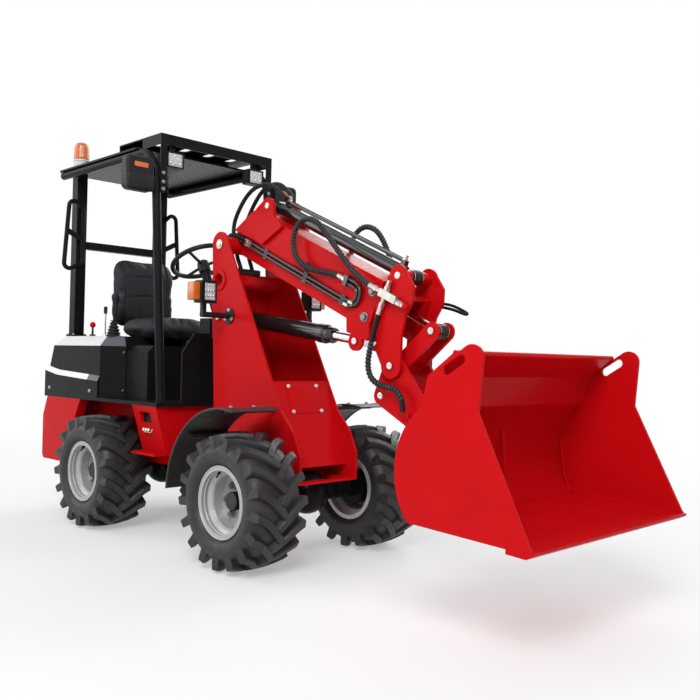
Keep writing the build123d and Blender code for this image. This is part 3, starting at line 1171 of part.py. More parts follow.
wheel_up = Vector(-sin(radians(WHEEL_LEAN)), 0, cos(radians(WHEEL_LEAN)))
wheel_point = side_point(WHEEL_CENTRE)
shaft_top = wheel_point - wheel_up * (SPOKE_DROP + WHEEL_HUB_TALL)
with BuildPart() as steering_column:
    box_deep, box_half, box_tall = COLUMN_BOX
    block((COLUMN_X - box_deep, -box_half, DECK_Z), (COLUMN_X + box_deep, box_half, DECK_Z + box_tall))
    disc(Plane(shaft_top, z_dir=wheel_up), (0, 0), COLUMN_R, -COLUMN_SHAFT, -SEAT_GAP)
finish(steering_column, "steering_column")

with BuildPart() as steering_wheel:
    wheel_plane = Plane(wheel_point, x_dir=(0, 1, 0), z_dir=wheel_up)
    ring_section = Plane(
        wheel_point + Vector(0, WHEEL_RING_R, 0), x_dir=(0, 1, 0), z_dir=Vector(0, 1, 0).cross(wheel_up)
    )
    with BuildSketch(ring_section):
        Circle(WHEEL_TUBE_R)
    revolve(axis=Axis(wheel_point, wheel_up))
    disc(wheel_plane, (0, 0), WHEEL_HUB_R, -SPOKE_DROP - WHEEL_HUB_TALL, -SPOKE_DROP + SPOKE_R)
    for angle in SPOKE_ANGLES:
        spoke_dir = wheel_plane.x_dir * cos(radians(angle)) + wheel_plane.y_dir * sin(radians(angle))
        spoke_run = spoke_dir * WHEEL_RING_R + wheel_up * SPOKE_DROP
        spoke = Plane(wheel_point - wheel_up * SPOKE_DROP, z_dir=spoke_run)
        disc(spoke, (0, 0), SPOKE_R, WHEEL_HUB_R / 2, WHEEL_RING_R)
finish(steering_wheel, "steering_wheel")

# Canopy: rear posts with a crossbar, side tubes, a roof sheet and a slotted front guard
ROOF_UNDER = ROOF_Z - ROOF_SHEET
with BuildPart() as rear_posts:
    for side in (-1, 1):
        y = side * POST_Y
        half = POST_SIZE / 2
        block((POST_X - half, y - half, HOOD_TOP), (POST_X + half, y + half, ROOF_UNDER))
        foot_low = (POST_X - POST_FOOT, y - POST_FOOT, HOOD_TOP)
        block(foot_low, (POST_X + POST_FOOT, y + POST_FOOT, HOOD_TOP + POST_FOOT_PLATE))
    bar_x, bar_z = CROSSBAR_SIZE[0] / 2, CROSSBAR_SIZE[1] / 2
    block((POST_X - bar_x, -POST_Y, CROSSBAR_Z - bar_z), (POST_X + bar_x, POST_Y, CROSSBAR_Z + bar_z))
finish(rear_posts, "rear_posts")

RAIL_Z = ROOF_UNDER - TUBE_R
with BuildPart() as side_tubes:
    for side in (-1, 1):
        y = side * TUBE_Y
        foot_z = DECK_Z + TUBE_FOOT / 2
        rail_end = (ROOF_REAR_X + ROOF_CORNER, y, RAIL_Z)
        tube_points = ((TUBE_BASE_X, y, foot_z), (TUBE_TOP_X, y, RAIL_Z), rail_end)
        bent_tube(tube_points, TUBE_BEND_R, TUBE_R)
        disc(PLAN, (TUBE_BASE_X, y), TUBE_R + CLEAR, DECK_Z, DECK_Z + TUBE_FOOT)
finish(side_tubes, "side_tubes")

with BuildPart() as roof_panel:
    with BuildSketch(PLAN.offset(ROOF_UNDER)):
        with Locations(((ROOF_REAR_X + ROOF_FRONT_X) / 2, 0)):
            RectangleRounded(ROOF_FRONT_X - ROOF_REAR_X, 2 * TUBE_Y + 2 * TUBE_R, ROOF_CORNER)
    extrude(amount=ROOF_SHEET)
finish(roof_panel, "roof_panel")

with BuildPart() as roof_guard:
    block((GUARD_REAR_X, -GUARD_HALF, GUARD_TOP_Z - GUARD_SHEET), (GUARD_FRONT_X, GUARD_HALF, GUARD_TOP_Z))
    slot_x = GUARD_FRONT_X - SLOT_FRONT - SLOT_LENGTH / 2
    with BuildSketch(PLAN.offset(GUARD_TOP_Z - GUARD_SHEET)):
        with Locations(*((slot_x, y) for y in SLOT_ROWS)):
            SlotOverall(SLOT_LENGTH, SLOT_WIDTH)
    extrude(amount=GUARD_SHEET, mode=Mode.SUBTRACT)
    block((GUARD_REAR_X, -GUARD_HALF, ROOF_Z), (GUARD_REAR_X + GUARD_SHEET, GUARD_HALF, GUARD_TOP_Z))
    for y in (-GUARD_HALF, GUARD_HALF - GUARD_SHEET):
        rim_low = (ROOF_FRONT_X + CLEAR, y, GUARD_TOP_Z - GUARD_RIM)
        block(rim_low, (GUARD_FRONT_X, y + GUARD_SHEET, GUARD_TOP_Z))
    sheet_x = GUARD_FRONT_X - GUARD_SHEET
    for y in (-GUARD_HALF, GUARD_HALF - GUARD_LEG):
        block((sheet_x, y, GUARD_LEG_Z), (GUARD_FRONT_X, y + GUARD_LEG, GUARD_TOP_Z))
    block((sheet_x, -GUARD_HALF, GUARD_TOP_Z - GUARD_RIM), (GUARD_FRONT_X, GUARD_HALF, GUARD_TOP_Z))
finish(roof_guard, "roof_guard")

# Grab handles: a closed loop in front of each rear post, held by two clamps and braced across
with BuildPart() as grab_handles:
    post_face = POST_X + POST_SIZE / 2
    loop_x = post_face + HANDLE_GAP + HANDLE_R
    out = POST_Y + HANDLE_REACH
    corners = ((out, HANDLE_LOW_Z), (out - HANDLE_TAPER, HANDLE_TOP_Z))
    corners += ((POST_Y, HANDLE_TOP_Z - HANDLE_INNER_TOP), (POST_Y, HANDLE_LOW_Z + HANDLE_INNER_LOW))
    brace_z = HANDLE_LOW_Z + BRACE_LOW
    brace_out = out - HANDLE_TAPER / 2
    brace = ((POST_Y, brace_z), (brace_out, brace_z + BRACE_RISE))
    brace += ((brace_out, brace_z + BRACE_RISE + BRACE_TALL), (POST_Y, brace_z + BRACE_TALL))
    for side in (-1, 1):
        with BuildLine() as path:
            spots = [(FRONT_AXLE_X + loop_x, side * y, z) for y, z in corners]
            FilletPolyline(*spots, radius=HANDLE_BEND, close=True)
        with BuildSketch(path.line ^ 0) as section:
            Circle(HANDLE_R)
        sweep(section.sketch, path=path.line)
        brace_face = [(side * y, z) for y, z in brace]
        plate(ACROSS, brace_face, loop_x - HANDLE_GAP, loop_x + HANDLE_GAP)
        for z in HANDLE_CLAMPS:
            clamp_low = (post_face, side * POST_Y - HANDLE_R, z - HANDLE_R)
            block(clamp_low, (loop_x, side * POST_Y + HANDLE_R, z + HANDLE_R))
finish(grab_handles, "grab_handles")

with BuildPart() as mirrors:
    for side in (-1, 1):
        y = side * MIRROR_Y
        low = (TUBE_TOP_X, y - MIRROR_WIDTH / 2, MIRROR_Z - MIRROR_TALL / 2)
        block(low, (TUBE_TOP_X + MIRROR_DEEP, y + MIRROR_WIDTH / 2, MIRROR_Z + MIRROR_TALL / 2))
    fillet(mirrors.edges().filter_by(Axis.X), MIRROR_CORNER)
    fillet(mirrors.faces().group_by(Axis.X)[-1].edges(), MIRROR_CORNER / 2)
    arm_y = TUBE_Y + TUBE_R + SEAT_GAP
    for near, far in ((-MIRROR_Y, -arm_y), (arm_y, MIRROR_Y)):
        disc(SIDE, (TUBE_TOP_X + MIRROR_ARM_R, MIRROR_Z), MIRROR_ARM_R, near, far)
finish(mirrors, "mirrors")

with BuildPart() as beacon:
    beacon_x, beacon_y = ROOF_REAR_X + BEACON_INSET[0], BEACON_INSET[1] - TUBE_Y
    base = Plane((FRONT_AXLE_X + beacon_x, beacon_y, ROOF_Z))
    disc(base, (0, 0), BEACON_R + CLEAR, 0, BEACON_BASE)
    disc(base, (0, 0), BEACON_R, BEACON_BASE, BEACON_TOP_Z - ROOF_Z)
    fillet(beacon.faces().sort_by(Axis.Z)[-1].edges(), BEACON_DOME)
finish(beacon, "beacon")

with BuildPart() as work_lights:
    for side in (-1, 1):
        y = side * WORK_LIGHT_Y
        deep, wide, tall = (size / 2 for size in WORK_LIGHT)
        x = GUARD_FRONT_X - GUARD_SHEET - WORK_LIGHT_GAP - deep
        block((x - deep, y - wide, WORK_LIGHT_Z - tall), (x + deep, y + wide, WORK_LIGHT_Z + tall))
        stem = WORK_LIGHT_STEM / 2
        block((x - stem, y - stem, WORK_LIGHT_Z), (x + stem, y + stem, GUARD_TOP_Z - GUARD_SHEET))
finish(work_lights, "work_lights")
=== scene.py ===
import json
import logging
import math
from collections.abc import Callable
from dataclasses import dataclass, field
from enum import Enum
from typing import ClassVar

import bmesh
import bpy
import numpy as np
from mathutils import Matrix, Vector


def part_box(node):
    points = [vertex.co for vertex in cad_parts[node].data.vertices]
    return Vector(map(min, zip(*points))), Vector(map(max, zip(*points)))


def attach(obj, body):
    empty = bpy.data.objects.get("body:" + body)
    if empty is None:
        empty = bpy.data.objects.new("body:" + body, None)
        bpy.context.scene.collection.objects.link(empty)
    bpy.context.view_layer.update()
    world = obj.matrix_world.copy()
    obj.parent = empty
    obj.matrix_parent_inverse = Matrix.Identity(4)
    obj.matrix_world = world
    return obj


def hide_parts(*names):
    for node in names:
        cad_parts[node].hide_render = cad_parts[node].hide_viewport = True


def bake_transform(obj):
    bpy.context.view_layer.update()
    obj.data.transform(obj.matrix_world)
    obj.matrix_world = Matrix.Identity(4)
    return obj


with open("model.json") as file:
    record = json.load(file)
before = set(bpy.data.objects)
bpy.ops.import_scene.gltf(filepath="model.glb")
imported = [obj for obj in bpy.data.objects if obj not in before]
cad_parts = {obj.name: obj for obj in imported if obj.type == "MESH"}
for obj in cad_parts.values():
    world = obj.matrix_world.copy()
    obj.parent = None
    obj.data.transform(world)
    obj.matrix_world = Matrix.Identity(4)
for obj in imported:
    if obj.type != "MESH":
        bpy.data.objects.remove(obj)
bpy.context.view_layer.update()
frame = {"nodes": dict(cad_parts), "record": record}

# Compact articulated wheel loader: red frames, boom and bucket, black hood and open canopy.
# Metres, or millimetres where a class says so. Stations are measured forward from the front axle,
# +Y is the machine's left and +Z is up.

log = logging.getLogger("loader")

Array = np.ndarray
Colour = tuple[float, float, float]
Point = tuple[float, float, float]
Profile = tuple[tuple[float, float], ...]
Route = tuple[Point, ...]
Socket = bpy.types.NodeSocket

MM = 0.001
LEFT, RIGHT = 1, -1
SIDES = ((LEFT, "left"), (RIGHT, "right"))
CORNERS = ("front_left", "front_right", "rear_left", "rear_right")
ACROSS = np.array([0.0, 1.0, 0.0])
UPRIGHT = (0, 0, 1)
FORWARD = (1, 0, 0)


def node_box(name: str) -> tuple[Array, Array]:
    """Low and high corner of a node of the frame."""
    low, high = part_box(name)
    return np.array(low), np.array(high)


def node_middle(name: str) -> Array:
    """Middle of a node's box."""
    low, high = node_box(name)
    return (low + high) / 2


FRONT_AXLE_X = float(node_middle("tyre_front_left")[0])
BOOM_SLOPE = math.radians(-24)
BOOM_PIVOT = node_middle("boom_pin")
BOOM_ALONG = np.array([math.cos(BOOM_SLOPE), 0, math.sin(BOOM_SLOPE)])
BOOM_UP = np.array([-math.sin(BOOM_SLOPE), 0, math.cos(BOOM_SLOPE)])


def at(station: float, y: float, z: float) -> Array:
    """Point of the frame at a station, side and height."""
    return np.array([FRONT_AXLE_X + station, y, z])


def spot(station: float, y: float, z: float) -> Array:
    """Point of the frame at a station, side and height in millimetres."""
    return at(station * MM, y * MM, z * MM)


def boom(along: float, up: float, y: float) -> Array:
    """Point of the frame at millimetres along the boom from its pivot, up from it and across."""
    return BOOM_PIVOT + (along * BOOM_ALONG + up * BOOM_UP + y * ACROSS) * MM


def on_boom(route: Route) -> list[Array]:
    """Points of the frame on a route that is given along the boom."""
    return [boom(*point) for point in route]


class Body(str, Enum):
    """Bodies of the frame on which pieces ride."""

    REAR = "rear_body"
    FRONT = "front_body"
    BOOM = "boom_body"
    SLIDE = "slide_body"
    TOOL = "tool_body"
    HAND_WHEEL = "hand_wheel"
    TILT_ROD = "tilt_rod_body"
    LIFT_BARREL = "lift_barrel_body"


class Slot(str, Enum):
    """Material slots of the record."""

    RED = "red"
    BLACK = "black_paint"
    CHROME = "chrome"
    ZINC = "zinc"
    SILVER = "silver"
    TYRE = "tyre"
    PLASTIC = "plastic"
    VINYL = "vinyl"
    AMBER = "amber"
    LINE = "line_rubber"


class Bolt(Enum):
    """Radius and height of the bolt heads."""

    PANEL = (0.006, 0.006)
    FOOT = (0.007, 0.008)
    CLAMP = (0.008, 0.008)
    PLATE = (0.008, 0.009)
    FITTING = (0.011, 0.020)
    WHEEL = (0.0155, 0.026)
    SLIDE_PAD = (0.017, 0.017)


class Nodes:
    """Nodes and links of one shader tree."""

    def __init__(self, tree: bpy.types.NodeTree) -> None:
        """Take a tree and empty it."""
        self.tree = tree
        self.tree.nodes.clear()

    def add(self, kind: str, operation: str = "", **inputs: object) -> bpy.types.Node:
        """Add a node.

        Args:
            kind: Blender's name of the node type.
            operation: Operation of a math node, or nothing.
            inputs: Input values, with spaces in their names written as underscores.

        Returns:
            The new node.
        """
        node = self.tree.nodes.new(kind)
        if operation:
            node.operation = operation
        self.fill(node, inputs)
        return node

    @staticmethod
    def fill(node: bpy.types.Node, values: dict[str, object]) -> None:
        """Set constants on a node's inputs, with spaces in their names as underscores."""
        for key, value in values.items():
            node.inputs[key.replace("_", " ")].default_value = value

    def join(self, source: Socket, target: Socket) -> None:
        """Link an output to an input."""
        self.tree.links.new(source, target)

    def math(self, operation: str, first: Socket, second: Socket) -> Socket:
        """Put two values together by a math operation."""
        node = self.add("ShaderNodeMath", operation)
        self.join(first, node.inputs[0])
        self.join(second, node.inputs[1])
        return node.outputs[0]

    def mixed(self, factor: Socket, first: Socket, second: Socket, target: Socket) -> None:
        """Mix two shaders by a factor and link the mix to an input."""
        mix = self.add("ShaderNodeMixShader")
        for source, socket in zip((factor, first, second), mix.inputs):
            self.join(source, socket)
        self.join(mix.outputs[0], target)

    def seen(self) -> Socket:
        """Tell the rays that see the background from those that only light the machine.

        Returns:
            A socket that is 1 for camera, glossy and transmission rays.
        """
        rays = self.add("ShaderNodeLightPath").outputs
        told = rays["Is Camera Ray"]
        for word in ("Is Glossy Ray", "Is Transmission Ray"):
            told = self.math("MAXIMUM", told, rays[word])
        return told


class Shader(Nodes):
    """Shader tree of one material, with a principled surface already joined to its output."""

    def __init__(self, name: str) -> None:
        """Start the tree of a new material of that name."""
        self.material = bpy.data.materials.new(name)
        self.material.use_nodes = True
        super().__init__(self.material.node_tree)
        self.surface = self.add("ShaderNodeBsdfPrincipled")
        self.output = self.add("ShaderNodeOutputMaterial")
        self.join(self.surface.outputs[0], self.output.inputs[0])
        self.place = self.add("ShaderNodeTexCoord").outputs["Object"]

    def set(self, **values: object) -> None:
        """Set constants on the principled surface, with spaces in names as underscores."""
        self.fill(self.surface, values)

    def noise(self, scale: float, detail: float = 2.0) -> Socket:
        """Fractal noise from 0 to 1 on Object coordinates, of so many cells in a metre."""
        node = self.add("ShaderNodeTexNoise", Scale=scale, Detail=detail, Roughness=0.55)
        self.join(self.place, node.inputs["Vector"])
        return node.outputs[0]

    def cells(self, scale: float, feature: str = "F1") -> Socket:
        """Distance to the nearest cell point, or to the feature named, of so many cells in a metre."""
        node = self.add("ShaderNodeTexVoronoi", Scale=scale)
        node.feature = feature
        self.join(self.place, node.inputs["Vector"])
        return node.outputs["Distance"]

    def span(self, value: Socket, low: float = 0.0, high: float = 1.0,
             start: float = 0.3, end: float = 0.7) -> Socket:
        """Map a value that runs from start to end onto low to high, held at both ends.

        Args:
            value: The value to map.
            low: Result at start.
            high: Result at end.
            start: Value that gives low.
            end: Value that gives high.

        Returns:
            The mapped value.
        """
        node = self.add("ShaderNodeMapRange")
        self.join(value, node.inputs[0])
        for socket, number in zip(node.inputs[1:5], (start, end, low, high)):
            socket.default_value = number
        return node.outputs[0]

    def colour_by(self, factor: Socket, first: Colour, second: Colour) -> None:
        """Colour the surface between two colours by a factor."""
        node = self.add("ShaderNodeMix")
        node.data_type = "RGBA"
        self.join(factor, node.inputs["Factor"])
        for socket, colour in zip(node.inputs[6:8], (first, second)):
            socket.default_value = (*colour, 1.0)
        self.join(node.outputs[2], self.surface.inputs["Base Color"])

    def gloss_by(self, scale: float, low: float, high: float) -> None:
        """Spread the surface's roughness from low to high by a noise."""
        self.join(self.span(self.noise(scale, 3), low, high), self.surface.inputs["Roughness"])

    def relief(self, height: Socket, depth: float, edge: float = 0.0) -> None:
        """Give the surface a bump, over edges that are rounded by a small radius.

        Args:
            height: Bump height, from 0 to 1.
            depth: Real height of the bump in metres.
            edge: Radius of the rounded edges in metres, or 0 for none.
        """
        bump = self.add("ShaderNodeBump", Distance=depth, Strength=1.0)
        self.join(height, bump.inputs["Height"])
        if edge:
            bevel = self.add("ShaderNodeBevel", Radius=edge)
            bevel.samples = 4
            self.join(bevel.outputs[0], bump.inputs["Normal"])
        self.join(bump.outputs[0], self.surface.inputs["Normal"])


def shaded(colour: Colour, share: float) -> Colour:
    """The colour with each channel multiplied by a share and held at 1."""
    return tuple(min(1.0, channel * share) for channel in colour)


@dataclass(frozen=True)
class Finish:
    """Name, record slot and colour of a material, which each kind of finish dresses in its own way."""

    name: str
    slot: Slot
    colour: Colour

    def material(self) -> bpy.types.Material:
        """Build the material."""
        tree = Shader(self.name)
        self.dress(tree)
        return tree.material


@dataclass(frozen=True)
class Paint(Finish):
    """Sprayed paint or moulded skin: patchy colour, uneven gloss, a fine skin and rounded edges."""

    roughness: float = 0.3
    coat: float = 0.5
    specular: float = 0.3
    metallic: float = 0.0
    mottle: float = 0.1
    patch: float = 5.0
    skin_scale: float = 700.0
    skin: float = 0.00008
    edge: float = 0.002

    def dress(self, tree: Shader) -> None:
        """Noise darkens the colour in patches, finer noise spreads the gloss, the finest is the skin."""
        dark, light = shaded(self.colour, 1 - self.mottle), shaded(self.colour, 1 + self.mottle / 2)
        tree.colour_by(tree.span(tree.noise(self.patch, 4)), dark, light)
        tree.gloss_by(self.patch * 9, self.roughness * 0.8, self.roughness * 1.25)
        tree.set(Metallic=self.metallic, Coat_Weight=self.coat, Coat_Roughness=0.12,
                 Specular_IOR_Level=self.specular)
        tree.relief(tree.noise(self.skin_scale), self.skin, self.edge)


@dataclass(frozen=True)
class Rubber(Finish):
    """Tyre rubber: near black, dulled by dust in patches and low places, with a fine moulded grain."""

    dust: Colour = (0.042, 0.040, 0.040)

    def dress(self, tree: Shader) -> None:
        """Two noises multiply into dust patches, and a fine noise is the grain."""
        broad = tree.span(tree.noise(7, 5), 0, 1, 0.4, 0.72)
        fine = tree.span(tree.noise(160, 4), 0.2, 1, 0.35, 0.7)
        tree.colour_by(tree.math("MULTIPLY", broad, fine), self.colour, self.dust)
        tree.gloss_by(40, 0.36, 0.6)
        tree.set(Specular_IOR_Level=0.42)
        tree.relief(tree.noise(420, 3), 0.0002, 0.003)


@dataclass(frozen=True)
class Vinyl(Finish):
    """Seat vinyl: dark skin with a leather grain of small cells, worn glossier in patches."""

    grain: float = 420.0

    def dress(self, tree: Shader) -> None:
        """The distance to cell edges is the grain, and noise spreads colour and gloss."""
        tree.colour_by(tree.span(tree.noise(9, 4)), self.colour, shaded(self.colour, 1.7))
        tree.gloss_by(30, 0.38, 0.58)
        tree.set(Specular_IOR_Level=0.22)
        tree.relief(tree.span(tree.cells(self.grain, "DISTANCE_TO_EDGE"), 0, 1, 0.0, 0.12), 0.00025)


@dataclass(frozen=True)
class Plating(Finish):
    """Bare or plated metal: brushed or polished, with a faint stain and fine scratches."""

    roughness: float = 0.2
    stain: float = 0.2
    scratch: float = 0.00003

    def dress(self, tree: Shader) -> None:
        """Noise stains the metal's colour and spreads its gloss."""
        tree.colour_by(tree.span(tree.noise(24, 4)), shaded(self.colour, 1 - self.stain), self.colour)
        tree.gloss_by(90, self.roughness * 0.75, self.roughness * 1.5)
        tree.set(Metallic=1.0)
        tree.relief(tree.noise(1500), self.scratch, 0.0008)


@dataclass(frozen=True)
class Lens(Finish):
    """Moulded lamp lens: clear or amber plastic with a grid of small pillows, each with a painted highlight
    in its middle and painted shade towards its rim, for the bright back behind it.
    """

    cell: float = 90.0
    # Share of the colour at the pillows' rims: the painted shade.
    shade: float = 0.6

    def dress(self, tree: Shader) -> None:
        """Rounded cells give the pillow bump, and the colour holds a painted highlight in their middles and
        painted shade towards their rims.
        """
        pillow = tree.cells(self.cell)
        # Painted highlight in each pillow's middle, painted shade at its rim.
        tree.colour_by(tree.span(pillow, 1, 0, 0.1, 0.7), shaded(self.colour, self.shade), self.colour)
        tree.set(Roughness=0.14, Coat_Weight=0.5, Coat_Roughness=0.05, Specular_IOR_Level=0.5)
        tree.relief(pillow, 0.0005)


class Finishes:
    """Materials of the machine, each built once."""

    RED = Paint("red_paint", Slot.RED, (0.53, 0.0035, 0.006), roughness=0.32, coat=0.04, specular=0.05,
                mottle=0.06)
    BLACK = Paint("black_paint", Slot.BLACK, (0.009, 0.009, 0.0095), roughness=0.3, coat=0.03, specular=0.06,
                  mottle=0.25)
    GLOSS = Paint("cylinder_black", Slot.BLACK, (0.010, 0.010, 0.011), roughness=0.16, coat=0.4, specular=0.5,
                  mottle=0.2)
    SILVER = Paint("silver_paint", Slot.SILVER, (0.44, 0.44, 0.45), roughness=0.36, coat=0.1, metallic=0.4)
    STRIPE = Paint("silver_stripe", Slot.SILVER, (0.74, 0.75, 0.76), roughness=0.32, coat=0.2, metallic=0.15,
                   mottle=0.05)
    # Black paint lightened to grey: a painted highlight on facets of the black hood that face the light.
    PAINTED_HIGHLIGHT_GREY = Paint("grey_painted_highlight", Slot.BLACK, (0.11, 0.112, 0.13), roughness=0.35, coat=0.1,
                        specular=0.15, mottle=0.08)
    PLASTIC = Paint("black_plastic", Slot.PLASTIC, (0.014, 0.0135, 0.0135), roughness=0.44, coat=0.0,
                    specular=0.2, mottle=0.2, skin_scale=1400.0, skin=0.00015)
    FENDER = Paint("fender_plastic", Slot.PLASTIC, (0.030, 0.026, 0.026), roughness=0.4, coat=0.0,
                   specular=0.25, mottle=0.2, skin_scale=1400.0, skin=0.0001)
    WHITE = Paint("white_plastic", Slot.SILVER, (0.66, 0.66, 0.63), roughness=0.45, coat=0.0, mottle=0.05)
    IRON = Paint("cast_iron", Slot.BLACK, (0.05, 0.05, 0.052), roughness=0.6, coat=0.0, metallic=0.4,
                 mottle=0.3, skin_scale=260.0, skin=0.0005)
    HOSE = Paint("hose_rubber", Slot.LINE, (0.008, 0.008, 0.009), roughness=0.5, coat=0.0, specular=0.2,
                 mottle=0.3, edge=0.0)
    GUARD = Paint("guard_plastic", Slot.LINE, (0.040, 0.040, 0.042), roughness=0.45, coat=0.0, mottle=0.4,
                  edge=0.0)
    TYRE = Rubber("tyre_rubber", Slot.TYRE, (0.015, 0.015, 0.016))
    VINYL = Vinyl("seat_vinyl", Slot.VINYL, (0.011, 0.012, 0.015))
    CHROME = Plating("rod_chrome", Slot.CHROME, (0.75, 0.75, 0.77), roughness=0.09, stain=0.08,
                     scratch=0.00001)
    ZINC = Plating("zinc_plate", Slot.ZINC, (0.62, 0.60, 0.55), roughness=0.3, stain=0.25)
    STEEL = Plating("dull_steel", Slot.ZINC, (0.34, 0.335, 0.33), roughness=0.38, stain=0.3)
    PIN = Plating("turned_pin", Slot.ZINC, (0.72, 0.72, 0.72), roughness=0.3, stain=0.15)
    CLEAR = Lens("clear_lens", Slot.SILVER, (0.60, 0.61, 0.63), cell=34.0, shade=0.8)
    AMBER = Lens("amber_lens", Slot.AMBER, (0.72, 0.15, 0.008), cell=120.0, shade=0.75)

    made: dict[str, bpy.types.Material] = {}

    @classmethod
    def get(cls, finish: Finish) -> bpy.types.Material:
        """Return the material of a finish, building it the first time."""
        if finish.name not in cls.made:
            cls.made[finish.name] = finish.material()
        return cls.made[finish.name]


@dataclass
class Surface:
    """Points and faces of a piece while it is worked out, as whole arrays."""

    points: Array
    quads: Array
    caps: list[Array] = field(default_factory=list)

    @staticmethod
    def grid(points: Array, wrap_rows: bool = False, wrap_columns: bool = False,
             cap_ends: bool = False) -> "Surface":
        """Surface over a grid of points, with or without joined sides and closed ends.

        Args:
            points: Array of rows by columns by three.
            wrap_rows: Join the last row to the first.
            wrap_columns: Join the last column to the first.
            cap_ends: Close the first and the last row with a flat face.

        Returns:
            The surface; face (i, j) joins points (i, j), (i, j+1), (i+1, j+1) and (i+1, j).
        """
        rows, columns = points.shape[:2]
        i = np.arange(rows if wrap_rows else rows - 1)[:, None]
        j = np.arange(columns if wrap_columns else columns - 1)[None, :]
        after_i, after_j = (i + 1) % rows, (j + 1) % columns
        corners = (i * columns + j, i * columns + after_j, after_i * columns + after_j, after_i * columns + j)
        quads = np.stack(corners, -1).reshape(-1, 4)
        caps = []
        if cap_ends:
            caps = [np.arange(columns)[::-1], (rows - 1) * columns + np.arange(columns)]
        return Surface(points.reshape(-1, 3), quads, caps)

    @staticmethod
    def join(parts: list["Surface"]) -> "Surface":
        """Put several surfaces into one, without merging their points."""
        starts = np.cumsum([0] + [len(part.points) for part in parts[:-1]])
        quads = [part.quads + start for part, start in zip(parts, starts)]
        caps = [cap + start for part, start in zip(parts, starts) for cap in part.caps]
        return Surface(np.concatenate([part.points for part in parts]), np.concatenate(quads), caps)

    def piece(self, name: str, finish: Finish, body: str | None, crease: float = 35.0,
              replaces: tuple[str, ...] = (), bevel: float = 0.0) -> bpy.types.Object:
        """Make the surface an object that rides on a body.

        Args:
            name: Name of the piece.
            finish: Finish of its surface, which also names its material slot.
            body: Body that carries it, or None for a piece that rides on no body.
            crease: Edges that turn by more than this many degrees stay sharp.
            replaces: Nodes of the frame that it stands for.
            bevel: Width of the rounding on all its edges, or 0 for none.

        Returns:
            The object, closed poles merged and faces turned outwards.
        """
        mesh = bpy.data.meshes.new(name)
        mesh.from_pydata(self.points.tolist(), [], self.quads.tolist() + [cap.tolist() for cap in self.caps])
        work = bmesh.new()
        work.from_mesh(mesh)
        bmesh.ops.remove_doubles(work, verts=work.verts, dist=1e-6)
        bmesh.ops.dissolve_degenerate(work, edges=work.edges, dist=1e-7)
        bmesh.ops.recalc_face_normals(work, faces=work.faces)
        if bevel:
            bmesh.ops.bevel(work, geom=list(work.edges), offset=bevel, segments=3, profile=0.5,
                            affect="EDGES")
        work.to_mesh(mesh)
        work.free()
        mesh.polygons.foreach_set("use_smooth", np.ones(len(mesh.polygons), bool))
        mesh.set_sharp_from_angle(angle=math.radians(crease))
        mesh.materials.append(Finishes.get(finish))
        made = bpy.data.objects.new(name, mesh)
        bpy.context.scene.collection.objects.link(made)
        if body:
            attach(made, getattr(body, "value", body))
        if replaces:
            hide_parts(*replaces)
        log.info("%s: %d points on %s", name, len(mesh.vertices), body)
        return made


def round_angles(count: int) -> Array:
    """Angles at even steps of a full turn."""
    return np.linspace(0, 2 * math.pi, count, endpoint=False)


def smooth_line(knots: Profile, count: int) -> Array:
    """Smooth line through a few knots.

    Args:
        knots: Points that the line passes through, in order.
        count: Number of points wanted.

    Returns:
        Points at even steps of the knots' own number: between two knots, the cubic whose slope at
        each knot is half the step from the knot before to the knot after.
    """
    knots = np.asarray(knots, float)
    slopes = np.gradient(knots, axis=0)
    where = np.linspace(0, len(knots) - 1, count)
    first = np.clip(where.astype(int), 0, len(knots) - 2)
    t = (where - first)[:, None]
    a, b = knots[first], knots[first + 1]
    u, v = slopes[first], slopes[first + 1]
    return a + t * u + t ** 2 * (3 * (b - a) - 2 * u - v) + t ** 3 * (2 * (a - b) + u + v)


def revolved(profile: Profile | Array, centre: Point | Array, axis: Point | Array, turns: int = 64,
             closed: bool = False) -> Surface:
    """Surface of a profile turned about an axis.

    Args:
        profile: Rows of (distance along the axis, radius).
        centre: Point on the axis where the distance is zero.
        axis: Direction of the axis.
        turns: Number of steps round the axis.
        closed: Whether the profile's end joins its start.

    Returns:
        The surface; a point is centre + along * axis + radius * (cos a, sin a) in the plane across.
    """
    axes = Vector(tuple(axis)).normalized().to_track_quat("Z", "X").to_matrix()
    across, up, along = (np.array(axes.col[k]) for k in range(3))
    angle = round_angles(turns)[:, None]
    ring = np.cos(angle) * across + np.sin(angle) * up
    profile = np.asarray(profile, float)
    points = np.array(centre) + profile[:, None, 0:1] * along + profile[:, None, 1:2] * ring[None]
    return Surface.grid(points, wrap_rows=closed, wrap_columns=True)


def box(low: Point, high: Point) -> Surface:
    """Box between two corners."""
    (x0, y0, z0), (x1, y1, z1) = np.minimum(low, high), np.maximum(low, high)
    ring = np.array([[x0, y0], [x1, y0], [x1, y1], [x0, y1]])
    rows = [np.column_stack([ring, np.full(4, level)]) for level in (z0, z1)]
    return Surface.grid(np.array(rows), wrap_columns=True, cap_ends=True)


def slab(outline: Array, step: Point | Array) -> Surface:
    """Sheet over a flat outline, with its other face a step away."""
    outline = np.asarray(outline, float)
    return Surface.grid(np.stack([outline, outline + np.array(step)]), wrap_columns=True, cap_ends=True)


def carried_axes(path: Array) -> tuple[Array, Array]:
    """Two axes across a line at each of its points, which don't twist about it."""
    run = np.gradient(path, axis=0)
    run /= np.linalg.norm(run, axis=1, keepdims=True)
    axis = np.cross(run[0], (0.31, 0.52, 0.79))
    across = np.zeros_like(path)
    for index, step in enumerate(run):
        axis = axis - step * (axis @ step)
        axis = axis / np.linalg.norm(axis)
        across[index] = axis
    return across, np.cross(run, across)


